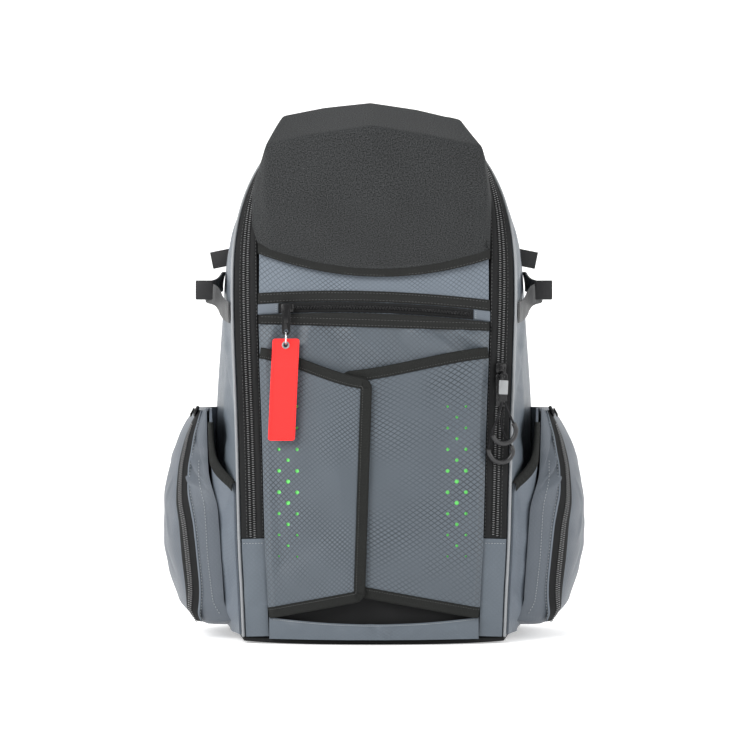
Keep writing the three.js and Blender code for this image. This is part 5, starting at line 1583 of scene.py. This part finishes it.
for side_name, side in (("right", 1), ("left", -1)):
    def pouch_place(u, v, side=side):
        turn = math.pi * u
        shrink, corner = 1.0, 0.0
        up = max(0.0, min((v - cut) / (1 - 2 * cut), 1.0))
        if v < cut:
            shrink = v / cut
            corner = -pocket_corner * (1 - shrink ** 6)
        elif v > 1 - cut:
            shrink = (1 - v) / cut
        soft = math.sin(math.pi * u) ** 0.6
        lift = (folds(u * 100, up * 100, pocket_folds_front)
                + ripple((side * 5, u * 110, up * 200), 18, 1.3)) * soft * shrink
        away = min(1.0, abs(u - zip_turn(up) / math.pi) * 14)
        point = pocket_point(turn, up, lift * away, shrink)
        return (side * point.x, point.y, point.z + corner + foot_rise(turn, up))

    pouch = grid_piece(f"ball_pocket_{side_name}_cloth", 180, 130, pouch_place, (210, 215))
    thicken(pouch, pocket_wall)
    finish_piece(pouch, pocket_grey_painted_shading, "grey_cloth", f"ball_pocket_{side_name}")

    def mirrored(point, side=side):
        return Vector((side * point.x, point.y, point.z))

    for name, low, high, lift, bulge, size, look, slot, nodes in (
        ("tape", -9, 9, 1.3, 1.0, (210, 18), black_cloth, "black_cloth", [f"ball_pocket_zip_{side_name}"]),
        ("welt", -10.6, -8.2, 1.0, 0.5, (210, 3), grey_seam, "grey_cloth", []),
    ):
        def strip_place(u, v, low=low, high=high, lift=lift, bulge=bulge, mirrored=mirrored):
            raised = lift + bulge * math.sin(math.pi * v)
            return mirrored(pocket_zip_point(mix(0.016, 0.99, u), mix(low, high, v), raised)[0])

        strip = grid_piece(f"pocket_zip_{name}_{side_name}", 90, 8, strip_place, size)
        thicken(strip, 1.2)
        finish_piece(strip, look, slot, *nodes)
    tooth = rounded_model(3.0, 1.05, 1.2)
    tooth_count = 92
    places = []
    for i in range(tooth_count):
        up = mix(0.01, 0.93, (i + 0.5) / tooth_count)
        for half_side in (-1, 1):
            shifted = up + half_side * 0.002
            point, facing = pocket_zip_point(shifted, half_side * 1.3, 3.1)
            across = pocket_zip_point(shifted, 1, 0)[0] - pocket_zip_point(shifted, -1, 0)[0]
            places.append(frame_at(mirrored(across), mirrored(facing), mirrored(point)))
    teeth = copies(f"pocket_zip_teeth_{side_name}", tooth, places)
    remove(tooth)
    # These teeth take the light grey of the painted glints.
    finish_piece(teeth, zip_teeth_painted_glint, "zip_plastic", angle=180)
    point, facing = pocket_zip_point(0.985, 0, 4.4)
    climb = pocket_zip_point(0.995, 0, 4.4)[0] - pocket_zip_point(0.955, 0, 4.4)[0]
    seat = frame_at(mirrored(climb), mirrored(facing), mirrored(point))
    knob = join(f"pocket_zip_slider_{side_name}", [
        place_piece(block("body", (9, 8, 3.4), (0, 0, 0), 1.3), seat),
        place_piece(block("tag", (9, 4.5, 1.6), (-3.0, 0, 3.0), 0.6), seat),
    ])
    finish_piece(knob, zip_plastic, "zip_plastic", f"ball_pocket_slider_{side_name}")

    def seam_facing(t, mirrored=mirrored):
        up = seam_up(t)
        along = pocket_point(seam_turn + 0.03, up) - pocket_point(seam_turn - 0.03, up)
        return mirrored(Vector((along.y, -along.x, 0)))

    def seam_path(t, mirrored=mirrored):
        up = seam_up(t)
        return mirrored(pocket_point(seam_turn, up, 0.9) + Vector((0, -0.5, foot_rise(seam_turn, up))))

    sew(f"ball_pocket_seam_{side_name}", seam_path, seam_facing, 160, thread_pale, 3.0, 1.8, 0.7)
    sew(f"pocket_zip_seam_{side_name}", lambda t, mirrored=mirrored: mirrored(zip_row(t, 0.9)[0]),
        lambda t, mirrored=mirrored: mirrored(zip_row(t, 0)[1]), 190, thread_pale, 3.0, 1.7, 0.6)

# Bat straps: a webbing loop on each side, from the piping out to a folded end and back to the rear seam.
# Black folded cloth covers the end, and a side tab of the same cloth stands above each strap.
# Painted sheen: the webbing is black, and its colour is lifted to dark grey for the sheen along it.
webbing_painted_sheen = cloth("black_webbing", (0.045, 0.046, 0.047), roughness=0.5, ribs=0.0016, pitch=0.0012,
                      shine=0.4)
strap_rows = (
    # how far back, how far out and how far up, each as a share
    (0, 0, 0.624), (0.14, 0.1, 0.629), (0.27, 0.2, 0.64), (0.33, 0.26, 0.65), (0.385, 0.42, 0.66),
    (0.404, 0.62, 0.664), (0.414, 0.84, 0.666), (0.418, 0.96, 0.667), (0.422, 0.84, 0.668),
    (0.432, 0.62, 0.67), (0.451, 0.42, 0.673), (0.51, 0.24, 0.68), (0.82, 0.08, 0.692), (1, 0, 0.695),
)
strap_front, strap_rear, strap_reach, strap_width = -84, 86, 21.2, 20


def strap_point(back, w, lift=0.0):
    out, up = look_up(strap_rows, 1, back), look_up(strap_rows, 2, back)
    y = mix(strap_front, strap_rear, back)
    z = up * arch_height + w * strap_width
    return Vector((wall_side(y, z) + 0.8 + 1.6 + out * strap_reach + lift, y, z))


tab_cloth = cloth("black_folded_tab", (0.014, 0.014, 0.015), roughness=0.5, pitch=0.001, shine=0.3)
strap_fold, tab_fold = (16, 1.5, 18.5), (22, 1.5, 17)
strap_tip = 0.418
for side_name, side in (("right", 1), ("left", -1)):
    def strap_place(u, v, side=side):
        curl = 0.6 * math.sin(math.pi * v)
        point = strap_point(u, v - 0.5, curl + ripple((u * 160, v * 20, side), 14, 0.6))
        return (side * point.x, point.y, point.z)

    strap = grid_piece(f"bat_strap_{side_name}_webbing", 90, 14, strap_place, (180, 20))
    thicken(strap, 1.5)
    apply(strap, "BEVEL", width=0.4 * MM, segments=2, limit_method="ANGLE")
    finish_piece(strap, webbing_painted_sheen, "black_cloth", f"bat_strap_{side_name}")
    tip = strap_point(strap_tip, 0, -1.6)
    folded = join(f"bat_strap_tab_{side_name}", [
        block("front_fold", strap_fold, (side * tip.x, tip.y - 3.6, tip.z + 2), 0.6),
        block("rear_fold", strap_fold, (side * tip.x, tip.y + 3.6, tip.z + 2), 0.6),
        block("folded_end", (1.8, 8.6, 18.5), (side * (tip.x + 7.6), tip.y, tip.z + 2), 0.8),
    ])
    finish_piece(folded, tab_cloth, "black_cloth")

    y, z = rear_reach - 15, 0.741 * arch_height
    root = wall_side(y, z) + 0.3
    tab = join(f"side_tab_{side_name}_webbing", [
        block("front_fold", tab_fold, (0, -0.8, 0), 0.6),
        block("rear_fold", tab_fold, (0, 0.8, 0), 0.6),
        block("folded_end", (1.8, 3.2, 17), (10.2, 0, 0), 0.7),
    ])
    place_piece(tab, Matrix.Translation(Vector((root + 6.5, y, z)) * MM) @ Matrix.Rotation(0.2, 4, "Y"))
    if side < 0:
        place_piece(tab, Matrix.Scale(-1, 4, Vector((1, 0, 0))))
        tab.data.flip_normals()
    finish_piece(tab, tab_cloth, "black_cloth", f"side_tab_{side_name}")

# Back panel: the padded sheet of black cloth that closes the arch behind, sewn to the wall's rear edge,
# with a soft edge of its own.
back_thickness = 6
back_y = rear_reach + back_thickness


def rear_half(z):
    """Half the width of the rear edge at a height."""
    t = door_row(z)
    while t < top_row and rear_edge(t).z < z:
        t += 0.02
    return abs(rear_edge(min(t, top_row)).x)


rear_step = (rear_edge(top_row).z - floor_gap) / 100
rear_table = [rear_half(floor_gap + rear_step * i) for i in range(101)]


def rear_width_at(z):
    """The same, read from a table."""
    f = max(0.0, min((z - floor_gap) / rear_step, 99.999))
    return mix(rear_table[int(f)], rear_table[int(f) + 1], f - int(f))


def back_place(u, v):
    z = mix(floor_gap, rear_edge(top_row).z - 0.4, v)
    x = (2 * u - 1) * max(rear_width_at(z), 0.5)
    edge = 3.5 * (1 - min(1.0, min(u, 1 - u) * 26, (1 - v) * 40)) ** 2
    return (x, back_y - edge + ripple((x, z, 4), 40, 0.8), z)


back = grid_piece("back_panel_cloth", 90, 110, back_place, (300, 480))
thicken(back, 5)
finish_piece(back, black_cloth, "black_cloth", "back_panel")

# Back pad: a thick mesh-covered cushion on the back panel, sewn down all round, with a channel down its
# middle and two across.
mesh_cloth = cloth("black_spacer_mesh", (0.03, 0.031, 0.033), roughness=0.85, sheen=0.1, pitch=0.0032,
                   relief=0.0005)


def pad_place(u, v):
    """The pad's outer face, round at its rim, with the channels pressed in."""
    low, high = 46, 410
    z = mix(low, high, v)
    width = 0.64 * rear_width_at(42 + (z - 42) / 0.83) + 3
    edge = min(u, 1 - u) * 2 * width
    rim = min(edge, (z - low) * 0.9, (high - z) * 0.9)
    x = (2 * u - 1) * width
    height = 11 * (1 - (1 - min(rim / 15, 1.0)) ** 2) ** 0.5
    channel = 6 * math.exp(-((x / 13) ** 2)) * ease(z, 70, 100) * (1 - ease(z, 350, 385))
    crossing = math.exp(-(((z - 160) / 6) ** 2)) + math.exp(-(((z - 275) / 6) ** 2))
    channel += 4 * crossing * ease(rim, 4, 16)
    return (x, back_y + 0.4 + max(0.2, height - min(channel, 8)), z)


pad = grid_piece("back_pad_mesh", 110, 130, pad_place, (190, 360))
thicken(pad, 2)
finish_piece(pad, mesh_cloth, "back_mesh", "back_pad")

# Shoulder straps: padded straps from the top of the back down to its sides, bound along their edges, with
# a webbing tail from each foot to the corner of the back.
shoulder_rows = (
    # up, across, out, width
    (0.33, 0.619, 0.608, 0.806), (0.44, 0.5875, 0.853, 0.871), (0.56, 0.5375, 1, 0.919),
    (0.68, 0.475, 1, 0.968), (0.78, 0.4, 0.779, 1), (0.844, 0.344, 0.338, 1), (0.878, 0.319, 0.044, 1),
    (0.904, 0.3125, 0, 1),
)
shoulder_thickness, shoulder_width, shoulder_reach, shoulder_seam = 10, 62, 40.8, 2.2
shoulder_low, shoulder_high = shoulder_rows[0][0], shoulder_rows[-1][0]
tail_rows = (
    # up, across, out
    (0.08, 0.7875, 0.055), (0.12, 0.7625, 0.162), (0.184, 0.6875, 0.405), (0.256, 0.6375, 0.54),
    (0.3318, 0.622, 0.784),
)
tail_width = 25
tail_out = shoulder_thickness + shoulder_seam + shoulder_rows[0][2] * shoulder_reach


def shoulder_point(up, w, lift=0.0):
    x = look_up(shoulder_rows, 1, up) * rear_width / 2 + w * look_up(shoulder_rows, 3, up) * shoulder_width
    out = max(look_up(shoulder_rows, 2, up), 0.0)
    y = back_y + shoulder_thickness + shoulder_seam + out * shoulder_reach
    return Vector((x, y + lift, up * arch_height))


for side_name, side in (("right", 1), ("left", -1)):
    def shoulder_place(u, v, side=side):
        # v goes once round the strap's section, its outer face first.
        up = mix(shoulder_low, shoulder_high, u)
        a = 2 * math.pi * v
        end = min(1.0, min(u, 1 - u) * 26) ** 0.5
        w = 0.5 * math.cos(a) * mix(0.9, 1.0, end)
        thick = (shoulder_thickness / 2 * math.copysign(abs(math.sin(a)) ** 0.55, math.sin(a))
                 * mix(0.5, 1, end))
        quilt = 0.7 * math.sin(u * 60) * (1 - abs(2 * w)) * (1 if thick > 0 else 0)
        point = shoulder_point(up, w, thick - shoulder_thickness / 2 + quilt * 0.4)
        return (side * point.x, point.y, point.z)

    shoulder = grid_piece(f"shoulder_strap_{side_name}_padding", 130, 40, shoulder_place, (320, 140))
    apply(shoulder, "WELD", merge_threshold=0.05 * MM)
    finish_piece(shoulder, mesh_cloth, "back_mesh", f"shoulder_strap_{side_name}", angle=60)

    def tail_place(u, v, side=side):
        up = mix(tail_rows[0][0], tail_rows[-1][0], u)
        y = back_y + max(look_up(tail_rows, 2, up) * tail_out, 3)
        x = look_up(tail_rows, 1, up) * rear_width / 2 + (v - 0.5) * tail_width
        return (side * x, y, up * arch_height)

    tail = grid_piece(f"strap_webbing_{side_name}_tail", 60, 8, tail_place, (140, tail_width))
    thicken(tail, 2)
    finish_piece(tail, webbing_painted_sheen, "webbing", f"strap_webbing_{side_name}")

# Grab handle: a padded loop of webbing over the top of the back, with each foot sewn flat to the back
# panel.
handle_half, handle_reach, handle_rise, handle_foot = 44, 4, 43, 0.916
handle_rows = (
    # how far across, up and out, each as a share
    (-1, 0, 0), (-0.91, 0.42, 0.4), (-0.5, 0.88, 0.9), (0, 1, 1), (0.5, 0.88, 0.9), (0.91, 0.42, 0.4),
    (1, 0, 0),
)
handle_points = [
    Vector((across * handle_half, back_y + 4.5 + out * handle_reach,
            handle_foot * arch_height + rise * handle_rise))
    for across, rise, out in handle_rows
]
handle = tube_piece("grab_handle_padding", smooth_path(handle_points), 4, 70, sides=18)
finish_piece(handle, webbing_painted_sheen, "webbing", "grab_handle", angle=60)
